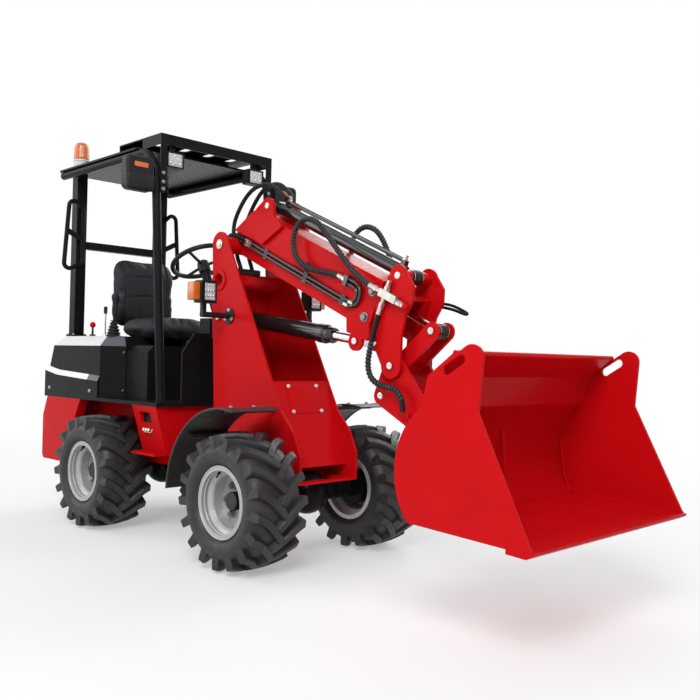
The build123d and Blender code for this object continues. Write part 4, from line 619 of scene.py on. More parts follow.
def tube(path: Array, radius: float | Array, sides: int = 14) -> Surface:
    """Round bar along a line of points.

    Args:
        path: Points of its middle line.
        radius: Radius of the bar, or its radius at each point.
        sides: Number of steps round it.

    Returns:
        The bar; each ring is square to the line, and its axes are carried from ring to ring with
        the part along the line taken out, so the bar doesn't twist.
    """
    path = np.asarray(path, float)
    across, lift = carried_axes(path)
    angle = round_angles(sides)[None, :, None]
    ring = across[:, None] * np.cos(angle) + lift[:, None] * np.sin(angle)
    thick = np.broadcast_to(radius, len(path))[:, None, None]
    return Surface.grid(path[:, None] + thick * ring, wrap_columns=True, cap_ends=True)


def hose_line(points: list[Array], steps: int = 14) -> Array:
    """Middle line of a hose: a spline with the route's points as its control points.

    Args:
        points: Route of the hose.
        steps: Steps between two control points.

    Returns:
        Points along the quadratic spline, which starts and ends at the route's ends.
    """
    data = bpy.data.curves.new("route", "CURVE")
    data.dimensions = "3D"
    data.resolution_u = steps
    spline = data.splines.new("NURBS")
    spline.points.add(len(points) - 1)
    for control, point in zip(spline.points, points):
        control.co = (*point, 1.0)
    spline.order_u = 3
    spline.use_endpoint_u = True
    holder = bpy.data.objects.new("route", data)
    line = np.array([vertex.co[:] for vertex in holder.to_mesh().vertices])
    holder.to_mesh_clear()
    bpy.data.objects.remove(holder)
    bpy.data.curves.remove(data)
    return line


def evenly(line: Array, step: float) -> Array:
    """The same line with points at even steps of its length."""
    length = np.concatenate([[0], np.cumsum(np.linalg.norm(np.diff(line, axis=0), axis=1))])
    where = np.linspace(0, length[-1], max(3, int(length[-1] / step)))
    return np.column_stack([np.interp(where, length, line[:, k]) for k in range(3)])


def bolt(centre: Array, axis: Point | Array, size: Bolt) -> Surface:
    """Hexagon bolt head on a washer, standing on a surface."""
    radius, tall = size.value
    rim, base = 1.4 * radius, 0.25 * tall
    washer = ((0, 0), (0, rim), (base * 0.7, rim), (base, rim * 0.93), (base, 0))
    head = ((base, 0), (base, radius), (0.85 * tall, radius), (tall, 0.84 * radius), (tall, 0))
    return Surface.join([revolved(washer, centre, axis, 20), revolved(head, centre, axis, 6)])


def pin_cap(centre: Array, axis: Point | Array, radius: float, tall: float = 0.005) -> Surface:
    """Turned end of a pin with a bevelled rim and a small centre mark."""
    bevel, mark, sunk = 0.15 * radius, 0.18 * radius, 0.002
    profile = ((0, 0), (0, radius), (tall - bevel * 0.6, radius), (tall, radius - bevel),
               (tall, mark), (tall - sunk, 0))
    return revolved(profile, centre, axis, 32)


@dataclass
class Tyre:
    """Tyre with chevron lugs: a smooth carcass and bars that run from the shoulders to the middle."""

    corner: str
    lug_count: int = 17
    lug_lead: float = 0.40
    lug_half: float = 0.0185
    lug_root: float = 0.006
    past_middle: float = 0.014
    past_limit: float = 0.05
    tip_drop: float = 0.010
    tip_half: float = 0.125
    half_width: float = 0.150
    # Height, radius and width of the rib above the rim.
    rib: Point = (0.0016, 0.212, 0.0022)
    # Distance across and radius along the half profile; the first points lie under the lugs.
    tread_points: int = 6
    carcass: Profile = (
        (0.0, 0.300), (0.050, 0.299), (0.100, 0.293), (0.130, 0.276), (0.147, 0.250), (0.150, 0.228),
        (0.145, 0.203), (0.133, 0.187), (0.1235, 0.178), (0.1195, 0.1600),
    )

    def __post_init__(self) -> None:
        """Read the hub's place and the tyre's radius from the frame."""
        low, high = node_box(f"tyre_{self.corner}")
        self.centre = (low + high) / 2
        self.radius = float(high[2] - low[2]) / 2

    def to_frame(self, y: Array, radius: Array, angle: Array) -> Array:
        """Points at a distance across, a radius and an angle from the top towards the front."""
        offset = np.stack([radius * np.sin(angle), y, radius * np.cos(angle)], -1)
        return self.centre + offset

    def carcass_surface(self) -> Surface:
        """The carcass: its half profile with a rim rib, a narrow bell, mirrored and turned about the axle."""
        half = smooth_line(self.carcass, 34)
        high, radius, wide = self.rib
        half[:, 1] += high * np.exp(-((half[:, 1] - radius) / wide) ** 2)
        profile = np.concatenate([half[::-1], half[1:] * (-1, 1)])
        return revolved(profile, self.centre, ACROSS, 112, closed=True)

    def lugs_surface(self) -> Surface:
        """All lugs at once.

        Returns:
            The lugs; each runs across from the middle to the shoulder while its angle falls back as
            the 1.5th power of the way, and its section is a bar with sloping flanks and cut edges.
            The tips' radius is a parabola that drops towards the shoulders.
        """
        way = np.linspace(0, 1, 11)
        side = np.repeat([1.0, -1.0], self.lug_count)
        pitch = 2 * math.pi / self.lug_count
        start = np.tile(np.arange(self.lug_count), 2) * pitch + np.where(side > 0, 0, pitch / 2)
        y = -self.past_middle + (self.half_width + self.past_middle) * way
        lag = self.lug_lead * (1 - way) ** 1.5
        slope_y = np.gradient(y)
        slope_arc = np.gradient(lag) * self.radius
        length = np.hypot(slope_y, slope_arc)
        width = self.lug_half * np.interp(way, (0, 0.12, 0.7, 1), (0.72, 0.95, 1.0, 1.18))
        offset = np.array([-1.32, -1.06, -0.88, 0.88, 1.06, 1.32])
        sink = np.array([1.0, 0.13, 0.0, 0.0, 0.13, 1.0])
        arc = (slope_y / length * width)[:, None] * offset
        across = y[:, None] - (slope_arc / length * width)[:, None] * offset
        across = np.clip(across, -self.past_limit, self.half_width)
        tread = np.array(self.carcass[:self.tread_points])
        floor = np.interp(np.abs(across), tread[:, 0], tread[:, 1]) - self.lug_root
        top = self.radius - self.tip_drop * (across / self.tip_half) ** 2
        radius = top + (floor - top) * sink
        angle = start[:, None, None] + (lag[:, None] + arc / self.radius)[None]
        radius = np.broadcast_to(radius, angle.shape)
        points = self.to_frame(across[None] * side[:, None, None], radius, angle)
        return Surface.join([Surface.grid(bar, wrap_columns=True, cap_ends=True) for bar in points])

    def build(self) -> None:
        """Make the tyre in place of its solid."""
        whole = Surface.join([self.carcass_surface(), self.lugs_surface()])
        whole.piece(f"lugged_tyre_{self.corner}", Finishes.TYRE, f"wheel_{self.corner}", 32,
                    (f"tyre_{self.corner}",))


@dataclass
class Wheel:
    """Fittings of one wheel: nuts on studs, a hub cap, rolled rings on the rim and a valve."""

    corner: str
    nut_count: int = 6
    nut_circle: float = 0.078
    stud: tuple[float, float] = (0.007, 0.009)
    disc_face: float = 0.018
    hub_end: float = 0.0585
    hub_radius: float = 0.0435
    # Distance out from the wheel's middle, radius of the ring and radius of its bead.
    rings: Route = ((0.1265, 0.1715, 0.0045), (0.108, 0.1515, 0.0045), (0.074, 0.133, 0.004))
    valve_foot: Point = (-0.060, 0.088, 0.136)
    valve_run: Point = (0.28, 0.72, -0.63)
    valve: Profile = ((0, 0), (0, 0.0075), (0.016, 0.0065), (0.018, 0.0042), (0.036, 0.0042), (0.038, 0))

    def build(self) -> None:
        """Make the fittings on the outside of the rim's disc."""
        centre = node_middle(f"rim_{self.corner}")
        hand = LEFT if centre[1] > 0 else RIGHT
        out = hand * ACROSS
        body = f"wheel_{self.corner}"
        nuts = []
        for angle in round_angles(self.nut_count):
            ray = np.array([math.cos(angle), 0, math.sin(angle)])
            foot = centre + self.nut_circle * ray + self.disc_face * out
            nuts.append(bolt(foot, out, Bolt.WHEEL))
            nuts.append(pin_cap(foot + Bolt.WHEEL.value[1] * out, out, *self.stud))
        Surface.join(nuts).piece(f"wheel_nuts_{self.corner}", Finishes.STEEL, body)
        r = self.hub_radius
        cap = ((0, 0), (0, r), (0.004, r), (0.007, r * 0.92), (0.0075, r * 0.6), (0.0055, r * 0.55),
               (0.006, 0))
        hub = revolved(cap, centre + self.hub_end * out, out, 40)
        hub.piece(f"hub_cap_{self.corner}", Finishes.IRON, body)
        angle = round_angles(10)
        bead = np.column_stack([np.cos(angle), np.sin(angle)])
        rings = [revolved((along, radius) + thick * bead, centre, out, 72, closed=True)
                 for along, radius, thick in self.rings]
        Surface.join(rings).piece(f"rim_rings_{self.corner}", Finishes.SILVER, body, 60)
        mirror = np.array([1, hand, 1])
        stem = revolved(self.valve, centre + mirror * self.valve_foot, mirror * self.valve_run, 14)
        stem.piece(f"valve_{self.corner}", Finishes.PLASTIC, body)


@dataclass
class HoodTrim:
    """Painted stripes of the hood, a painted highlight on its nose facets and on the front of its ledge, and
    the bolts of its lower band. Millimetres.
    """

    front: float = -1320
    rear: float = -2105
    half: float = 415
    corner: float = 110
    side_top: float = 1068
    top: float = 1130
    crown_ends: tuple[float, float] = (63, 97)
    film: float = 0.7
    film_gap: float = 0.3
    drawn_in: float = 0.992
    band_half: float = 430
    ledge: float = 33
    # Station from which the ledge carries the painted highlight in place of the silver stripe.
    painted_highlight_from: float = -1560
    band: Profile = ((-2133, 905), (-1955, 878), (-1430, 853))
    inside: Point = (-1700, 0, 800)
    bolt_stations: tuple[float, float] = (-2060, -1520)
    bolt_height: float = 792

    def facet(self, corners: list[Point], side: int) -> Surface:
        """Painted film on a flat face: its corners drawn in a little, and its thickness outwards."""
        points = np.array([spot(x, side * y, z) for x, y, z in corners])
        middle = points.mean(0)
        points = middle + (points - middle) * self.drawn_in
        normal = np.cross(points[1] - points[0], points[2] - points[0])
        normal /= np.linalg.norm(normal)
        if normal @ (middle - spot(*self.inside)) < 0:
            normal = -normal
        film = normal * self.film * MM
        return slab(points + film * self.film_gap, film)

    def ledge_face(self, x0: float, z0: float, x1: float, z1: float) -> list[Point]:
        """Corners of a stretch of the band's sloping ledge."""
        return [(x0, self.band_half, z0), (x1, self.band_half, z1),
                (x1, self.half, z1 + self.ledge), (x0, self.half, z0 + self.ledge)]

    def build(self) -> None:
        """Make the stripes, the painted highlight and the bolts on both sides."""
        rise = self.top - self.side_top
        inset = self.corner - rise * (2 - math.sqrt(2))
        low_end, high_end = (self.rear + end for end in self.crown_ends)
        crown = [(low_end, self.half, self.side_top),
                 (self.front - self.corner, self.half, self.side_top),
                 (self.front - rise - inset, self.half - rise, self.top),
                 (high_end, self.half - rise, self.top)]
        nose = [crown[1], (self.front, self.half - self.corner, self.side_top),
                (self.front - rise, self.half - rise - inset, self.top), crown[2]]
        # The grey films are a painted highlight on the hood's black paint.
        silver, painted_highlight, bolts = [], [], []
        for side, _ in SIDES:
            silver.append(self.facet(crown, side))
            painted_highlight.append(self.facet(nose, side))
            for (x0, z0), (x1, z1) in zip(self.band, self.band[1:]):
                cut = min(1.0, (self.painted_highlight_from - x0) / (x1 - x0))
                xm, zm = x0 + cut * (x1 - x0), z0 + cut * (z1 - z0)
                silver.append(self.facet(self.ledge_face(x0, z0, xm, zm), side))
                if cut < 1:
                    painted_highlight.append(self.facet(self.ledge_face(xm, zm, x1, z1), side))
            bolts += [bolt(spot(x, side * self.band_half, self.bolt_height), side * ACROSS, Bolt.PLATE)
                      for x in self.bolt_stations]
        Surface.join(silver).piece("hood_silver_stripes", Finishes.STRIPE, Body.REAR)
        Surface.join(painted_highlight).piece("hood_painted_highlight_facets", Finishes.PAINTED_HIGHLIGHT_GREY, Body.REAR)
        Surface.join(bolts).piece("hood_bolts", Finishes.ZINC, Body.REAR)


def bell(value: Array, middle: float | Array, width: float) -> Array:
    """1 at the middle, falling off to both sides as the exponential of minus the square of the way."""
    return np.exp(-((value - middle) / width) ** 2)


def ramp(value: Array, start: float, width: float) -> Array:
    """0 up to the start, then a straight rise to 1 over the width."""
    return np.clip((value - start) / width, 0, 1)


@dataclass
class Seat:
    """Moulded seat: a cushion with a front roll and a back with wings, both sewn and padded."""

    shrink: float = 0.010
    swell: float = 0.022
    voxel: float = 0.006
    calm: int = 14
    pressure: float = 4.0
    stiffness: float = 20.0
    frames: int = 20
    squareness: float = 5.0
    seam: float = 0.006
    seam_wide: float = 0.011

    def pad(self, centre: Array, half: Array, along: int) -> Surface:
        """Closed pillow: rings that shrink towards both faces.

        Args:
            centre: Middle of the pad.
            half: Half sizes along x, y and z.
            along: Number of the axis that the flat faces look along.

        Returns:
            The pad; its outline is a superellipse of the squareness, and its thickness falls with the
            sixth power of the way from the middle to the rim.
        """
        first, second = [axis for axis in range(3) if axis != along]
        rings = 26
        way = np.concatenate([np.linspace(0, 1, rings), np.linspace(1, 0, rings)[1:]])
        face = np.concatenate([np.ones(rings), -np.ones(rings - 1)])
        angle = round_angles(88)
        power = self.squareness
        reach = (np.abs(np.cos(angle)) ** power + np.abs(np.sin(angle)) ** power) ** (-1 / power)
        points = np.zeros((len(way), len(angle), 3))
        points[..., first] = half[first] * way[:, None] * (reach * np.cos(angle))[None]
        points[..., second] = half[second] * way[:, None] * (reach * np.sin(angle))[None]
        points[..., along] = (face * (1 - way ** 6) ** 0.5 * half[along])[:, None]
        return Surface.grid(points + centre, wrap_columns=True)

    def fill(self, piece: bpy.types.Object) -> None:
        """Blow the pad up as sewn cloth, each point moved no further than the swell."""
        remesh = piece.modifiers.new("weave", "REMESH")
        remesh.mode = "VOXEL"
        remesh.voxel_size = self.voxel
        self.apply(piece)
        start = self.points_of(piece.data)
        cloth = piece.modifiers.new("cloth", "CLOTH")
        cloth.settings.quality = 4
        cloth.settings.use_pressure = True
        cloth.settings.uniform_pressure_force = self.pressure
        cloth.settings.tension_stiffness = self.stiffness
        cloth.settings.compression_stiffness = self.stiffness
        cloth.settings.effector_weights.gravity = 0.0
        cloth.point_cache.frame_start = 1
        cloth.point_cache.frame_end = self.frames
        for step in range(self.frames):
            bpy.context.scene.frame_set(step + 1)
        moved = piece.evaluated_get(bpy.context.evaluated_depsgraph_get())
        shift = self.points_of(moved.data) - start
        piece.modifiers.remove(cloth)
        bpy.context.scene.frame_set(1)
        length = np.linalg.norm(shift, axis=1, keepdims=True)
        self.move(piece, start + shift * np.minimum(1, self.swell / np.maximum(length, 1e-9)))

    @staticmethod
    def points_of(mesh: bpy.types.Mesh) -> Array:
        """Points of a mesh as one array."""
        points = np.zeros(len(mesh.vertices) * 3, np.float32)
        mesh.vertices.foreach_get("co", points)
        return points.reshape(-1, 3).astype(float)

    @staticmethod
    def move(piece: bpy.types.Object, points: Array) -> None:
        """Put a piece's points at new places."""
        piece.data.vertices.foreach_set("co", points.astype(np.float32).ravel())

    @staticmethod
    def apply(piece: bpy.types.Object) -> None:
        """Make what the modifiers show the piece's own mesh."""
        shown = piece.evaluated_get(bpy.context.evaluated_depsgraph_get())
        mesh = bpy.data.meshes.new_from_object(shown)
        piece.modifiers.clear()
        old = piece.data
        piece.data = mesh
        bpy.data.meshes.remove(old)

    def finish(self, piece: bpy.types.Object, shape: Callable[[Array], Array]) -> None:
        """Smooth the pad, subdivide it once and press its seams in.

        Args:
            piece: The pad.
            shape: Function from the points' array to the moved points' array.
        """
        calm = piece.modifiers.new("calm", "SMOOTH")
        calm.factor = 0.5
        calm.iterations = self.calm
        smooth = piece.modifiers.new("fine", "SUBSURF")
        smooth.levels = smooth.render_levels = 1
        self.apply(piece)
        self.move(piece, shape(self.points_of(piece.data)))
        piece.data.polygons.foreach_set("use_smooth", np.ones(len(piece.data.polygons), bool))
        piece.data.update()

    def cushion_shape(self, points: Array) -> Array:
        """Cushion: side bolsters and a front roll stand up, a seam runs round the middle panel.

        Args:
            points: Points of the pad, as rows of three.

        Returns:
            The points moved up or down by bells and ramps of x, the share of the way to the front, and
            of y, the distance from the middle.
        """
        low, high = node_box("seat_cushion")
        x = (points[:, 0] - low[0]) / (high[0] - low[0])
        y = np.abs(points[:, 1])
        upper = ramp(points[:, 2], low[2] + 0.05, 0.04)
        roll = 0.014 * bell(x, 0.86, 0.12)
        bolster = 0.016 * ramp(y, 0.13, 0.06) * (1 - ramp(x, 0.7, 0.2))
        hollow = 0.012 * bell(x, 0.4, 0.3) * bell(y, 0, 0.14)
        seam = self.seam * (bell(y, 0.145, 0.005) + bell(x, 0.70, self.seam_wide))
        points[:, 2] += upper * (roll + bolster - hollow - seam * (x > 0.08))
        return points

    def back_shape(self, points: Array) -> Array:
        """Back: wings stand forward at the sides, seams bound the middle panel and cross it in arcs.

        Args:
            points: Points of the pad, as rows of three.

        Returns:
            The points moved forward or back by bells and ramps of z, the share of the height, and of y,
            the distance from the middle.
        """
        low, high = node_box("seat_back")
        z = (points[:, 2] - low[2]) / (high[2] - low[2])
        y = np.abs(points[:, 1])
        front = ramp(points[:, 0], (low[0] + high[0]) / 2, 0.03)
        edge = 0.150 - 0.03 * (z - 0.5) ** 2
        wing = 0.026 * ramp(y - edge, 0, 0.05) * (1 - ramp(z, 0.7, 0.3))
        seam = 0.007 * bell(y, edge, 0.006)
        for height in (0.42, 0.68):
            arc = height + 0.05 * (1 - (y / 0.15) ** 2)
            seam += self.seam * bell(z, arc, self.seam_wide) * (y < edge) * np.where(y < 0.1, 1, 0.4)
        bowed = 0.010 * (2 * z - 1) ** 2
        points[:, 0] += front * (wing - seam * (z > 0.06) * (z < 0.95) - bowed)
        return points

    def build(self) -> None:
        """Make the cushion and the back in place of their solids."""
        rows = (("seat_cushion", 2, self.cushion_shape), ("seat_back", 0, self.back_shape))
        for node, along, shape in rows:
            low, high = node_box(node)
            pad = self.pad((low + high) / 2, (high - low) / 2 - self.shrink, along)
            piece = pad.piece(f"padded_{node}", Finishes.VINYL, Body.REAR, 180, (node,))
            self.fill(piece)
            self.finish(piece, shape)


@dataclass
class Levers:
    """Joystick with a folded boot and a grip, a knob lever and a slim lever; feet in millimetres."""

    joystick: Point = (-1461, -312, 1130)
    lean: Point = (0.05, 0.02, 1.0)
    knob_lever: Point = (-1726.5, -312, 1130)
    slim_lever: Point = (-1548, -322, 1130)
    folds: int = 5
    fold_deep: float = 0.0042
    boot_tall: float = 0.098
    boot_radii: tuple[float, float] = (0.043, 0.016)
    grip: Profile = ((0.096, 0.010), (0.118, 0.013), (0.140, 0.019), (0.175, 0.021), (0.205, 0.020),
                     (0.232, 0.027), (0.250, 0.027), (0.262, 0.018), (0.266, 0.002))
    stem: Profile = ((0, 0), (0, 0.02), (0.012, 0.018), (0.014, 0.007), (0.060, 0.006), (0.062, 0))
    knob: Profile = ((0.056, 0.001), (0.058, 0.012), (0.068, 0.018), (0.080, 0.017), (0.090, 0.010),
                     (0.092, 0.001))
    rod: Profile = ((0, 0), (0, 0.016), (0.010, 0.014), (0.012, 0.0055), (0.150, 0.0055), (0.151, 0))
    cap: Profile = ((0.140, 0), (0.140, 0.010), (0.178, 0.012), (0.184, 0.008), (0.185, 0))

    def build(self) -> None:
        """Make the levers in place of their solids."""
        foot = spot(*self.joystick)
        way = np.linspace(0, 1, 61)
        wide, narrow = self.boot_radii
        folded = wide + (narrow - wide) * way + self.fold_deep * np.cos(2 * math.pi * self.folds * way)
        tall = self.boot_tall
        boot = np.concatenate([[(0, 0)], np.column_stack([tall * way, folded]), [(tall, 0)]])
        grip = np.concatenate([[(0.090, 0)], smooth_line(self.grip, 60), [(0.266, 0)]])
        stick = Surface.join([revolved(boot, foot, UPRIGHT, 40), revolved(grip, foot, self.lean, 32)])
        stick.piece("joystick", Finishes.PLASTIC, Body.REAR, 50, ("control_levers",))
        for name, finish, place, profile, turns, crease in (
            ("knob_stem", Finishes.PLASTIC, self.knob_lever, self.stem, 24, 35),
            ("red_knob", Finishes.RED, self.knob_lever, smooth_line(self.knob, 26), 28, 60),
            ("slim_lever", Finishes.ZINC, self.slim_lever, self.rod, 20, 35),
            ("slim_lever_cap", Finishes.PLASTIC, self.slim_lever, self.cap, 20, 35),
        ):
            revolved(profile, spot(*place), UPRIGHT, turns).piece(name, finish, Body.REAR, crease)


@dataclass
class Lamps:
    """Headlamps with lit dots and amber markers, work lamps, mirrors and the beacon."""

    # Lamps and the flange in millimetres: station, side and height; half width and half height.
    head: Point = (-376, 373, 1357)
    head_half: tuple[float, float] = (48, 59)
    head_frame: float = 14
    marker_width: float = 40
    marker_stations: tuple[float, float] = (-69, -12)
    marker_inset: float = 12
    flange: Point = (-429, 208, 1239)
    flange_circle: float = 31
    work_half: tuple[float, float] = (47, 37)
    # In metres from here: the work lamp's place in from the side and up, panes, rims and dots.
    work_from_edge: tuple[float, float] = (0.055, 0.045)
    pane_deep: float = 0.004
    rim_wide: float = 0.007
    rim_deep: float = 0.009
    rounding: float = 0.0015
    dot: float = 0.0075
    dome: Profile = ((0, 0), (0, 1.0), (0.35, 0.93), (0.62, 0.62), (0.75, 0))
    mirror_y: float = 0.522
    # Beacon as shares of its height and its radius.
    beacon_base: Profile = ((0, 0), (0, 1.0), (0.05, 1.0), (0.07, 0.92), (0.30, 0.90), (0.31, 0.97),
                            (0.37, 0.97), (0.38, 0))
    beacon_dome: Profile = ((0.37, 0.90), (0.42, 0.94), (0.62, 0.90), (0.84, 0.84), (0.95, 0.66),
                            (0.995, 0.25), (1.0, 0.0))
    flutes: int = 24
    flute_deep: float = 0.018
    fluted_to: float = 0.86

    def lens(self, name: str, body: Body, face: Array, half: tuple[float, float],
             dots: tuple[int, int]) -> None:
        """Rimmed lens that looks forward, with a grid of lit dots on it.

        Args:
            name: Name of the lamp.
            body: Body that carries it.
            face: Middle of the lamp's front face.
            half: Half width and half height of the lens in millimetres.
            dots: Columns and rows of dots.
        """
        wide, tall = half[0] * MM, half[1] * MM
        pane = box(face - (0, wide, tall), face + (self.pane_deep, wide, tall))
        pane.piece(f"{name}_lens", Finishes.CLEAR, body, bevel=self.rounding)
        far, high, deep = wide + self.rim_wide, tall + self.rim_wide, self.rim_deep
        bars = []
        for sign in (-1, 1):
            bars.append(box(face + (0, sign * wide, -high), face + (deep, sign * far, high)))
            bars.append(box(face + (0, -far, sign * tall), face + (deep, far, sign * high)))
        Surface.join(bars).piece(f"{name}_rim", Finishes.PLASTIC, body, bevel=self.rounding)
        columns, rows = dots
        profile = np.array(self.dome) * min(self.dot, 0.8 * wide / columns)
        domes = [revolved(profile, face + (self.pane_deep, column, row), FORWARD, 14)
                 for column in np.linspace(-1, 1, columns) * wide * 0.72
                 for row in np.linspace(-1, 1, rows) * tall * 0.62 + 0.12 * tall]
        Surface.join(domes).piece(f"{name}_dots", Finishes.CHROME, body, 60)

    def headlamps(self) -> None:
        """Lens, rim, dots and amber marker of each headlamp, and the bolts of its flange."""
        x, y, z = self.head
        wide, tall = self.head_half
        back, fore = self.marker_stations
        high = tall - self.marker_inset
        flange_x, flange_y, flange_z = self.flange
        ring = self.flange_circle
        for side, word in SIDES:
            half = (wide - self.head_frame, tall - self.head_frame)
            self.lens(f"headlamp_{word}", Body.FRONT, spot(x, side * y, z), half, (4, 3))
            near, far = side * (y + wide), side * (y + wide + self.marker_width + 1)
            cover = box(spot(x + back, near, z - high), spot(x + fore, far, z + high))
            cover.piece(f"marker_{word}", Finishes.AMBER, Body.FRONT, bevel=0.005)
            bolts = [bolt(spot(flange_x + ring * math.cos(a), side * flange_y, flange_z + ring * math.sin(a)),
                          side * ACROSS, Bolt.FOOT) for a in np.radians((90, 210, 330))]
            Surface.join(bolts).piece(f"lamp_bolts_{word}", Finishes.ZINC, Body.FRONT)

    def work_lamps(self) -> None:
        """Lens, rim and dots of the two lamps under the front of the roof."""
        low, high = node_box("work_lights")
        from_side, from_below = self.work_from_edge
        for side, word in SIDES:
            face = np.array([high[0], side * (high[1] - from_side), low[2] + from_below])
            self.lens(f"work_lamp_{word}", Body.REAR, face, self.work_half, (3, 2))

    def mirrors(self) -> None:
        """Amber lens, stepped lower half and glass of each mirror."""
        rear, front = (corner[0] for corner in node_box("mirrors"))
        # Part, finish, rear face, front face, half width, bottom, top and rounding.
        rows = (
            ("marker", Finishes.AMBER, front, front + 0.004, 0.042, 2.045, 2.073, 0.003),
            ("step", Finishes.PLASTIC, front - 0.03, front + 0.006, 0.085, 1.922, 2.012, 0.012),
            ("glass", Finishes.CHROME, rear - 0.002, rear + 0.001, 0.074, 1.933, 2.098, 0.0),
        )
        for side, word in SIDES:
            middle = side * self.mirror_y
            for part, finish, back, fore, half, bottom, top, rounding in rows:
                shape = box((back, middle - half, bottom), (fore, middle + half, top))
                shape.piece(f"mirror_{part}_{word}", finish, Body.REAR, bevel=rounding)

    def beacon(self) -> None:
        """White base with a collar, and an amber dome fluted by a cosine, in place of the plain solid."""
        low, high = node_box("beacon")
        middle = np.array([(low[0] + high[0]) / 2, (low[1] + high[1]) / 2, low[2]])
        radius, tall = (high[0] - low[0]) / 2, high[2] - low[2]
        base = revolved(np.array(self.beacon_base) * (tall, radius), middle, UPRIGHT, 48)
        base.piece("beacon_base", Finishes.WHITE, Body.REAR, replaces=("beacon",))
        shape = np.concatenate([[(self.beacon_dome[0][0], 0)], smooth_line(self.beacon_dome, 40)])
        dome = revolved(shape * (tall, radius), middle, UPRIGHT, 96)
        offset = dome.points - middle
        wave = np.cos(self.flutes * np.arctan2(offset[:, 1], offset[:, 0]))
        flute = 1 + self.flute_deep * wave * (offset[:, 2] < self.fluted_to * tall)
        dome.points = middle + offset * np.column_stack([flute, flute, np.ones(len(flute))])
        dome.piece("beacon_dome", Finishes.AMBER, Body.REAR, 70)

    def build(self) -> None:
        """Make all lamps and mirrors."""
        self.headlamps()
        self.work_lamps()
        self.mirrors()
        self.beacon()


@dataclass
class Hose:
    """One hydraulic hose that runs between two bodies, with or without a spiral guard."""

    name: str
    route: list[Array]
    bodies: tuple[Body, Body]
    start: Array
    end: Array
    guarded: tuple[float, float] | None = None
    replaces: tuple[str, ...] = ()
    core: ClassVar[float] = 0.0115
    guard: ClassVar[float] = 0.0046
    guard_sunk: ClassVar[float] = 0.0006
    pitch: ClassVar[float] = 0.017
    turn_steps: ClassVar[int] = 13

    def spiral(self, line: Array, first: float, last: float) -> Surface:
        """Spiral guard wound round part of a hose.

        Args:
            line: Middle line of the hose.
            first: Share of the line's length where the guard starts.
            last: Share where it ends.

        Returns:
            A flat-sided bar whose middle runs round the line once in each pitch.
        """
        fine = evenly(line, self.pitch / self.turn_steps)
        fine = fine[int(first * len(fine)):int(last * len(fine))]
        across, lift = carried_axes(fine)
        angle = 2 * math.pi * np.arange(len(fine))[:, None] / self.turn_steps
        wound = fine + (self.core - self.guard_sunk) * (across * np.cos(angle) + lift * np.sin(angle))
        return tube(wound, self.guard, 6)

    def build(self) -> None:
        """Make the hose and its guard, with their points set in place."""
        line = hose_line(self.route)
        hose = tube(evenly(line, 0.008), self.core, 16)
        pieces = [hose.piece(self.name, Finishes.HOSE, None, 60, self.replaces)]
        if self.guarded:
            guard = self.spiral(line, *self.guarded)
            pieces.append(guard.piece(f"{self.name}_guard", Finishes.GUARD, None, 60))
        for piece in pieces:
            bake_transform(piece)
        log.info("%s: %.2f m", self.name, np.linalg.norm(np.diff(line, axis=0), axis=1).sum())


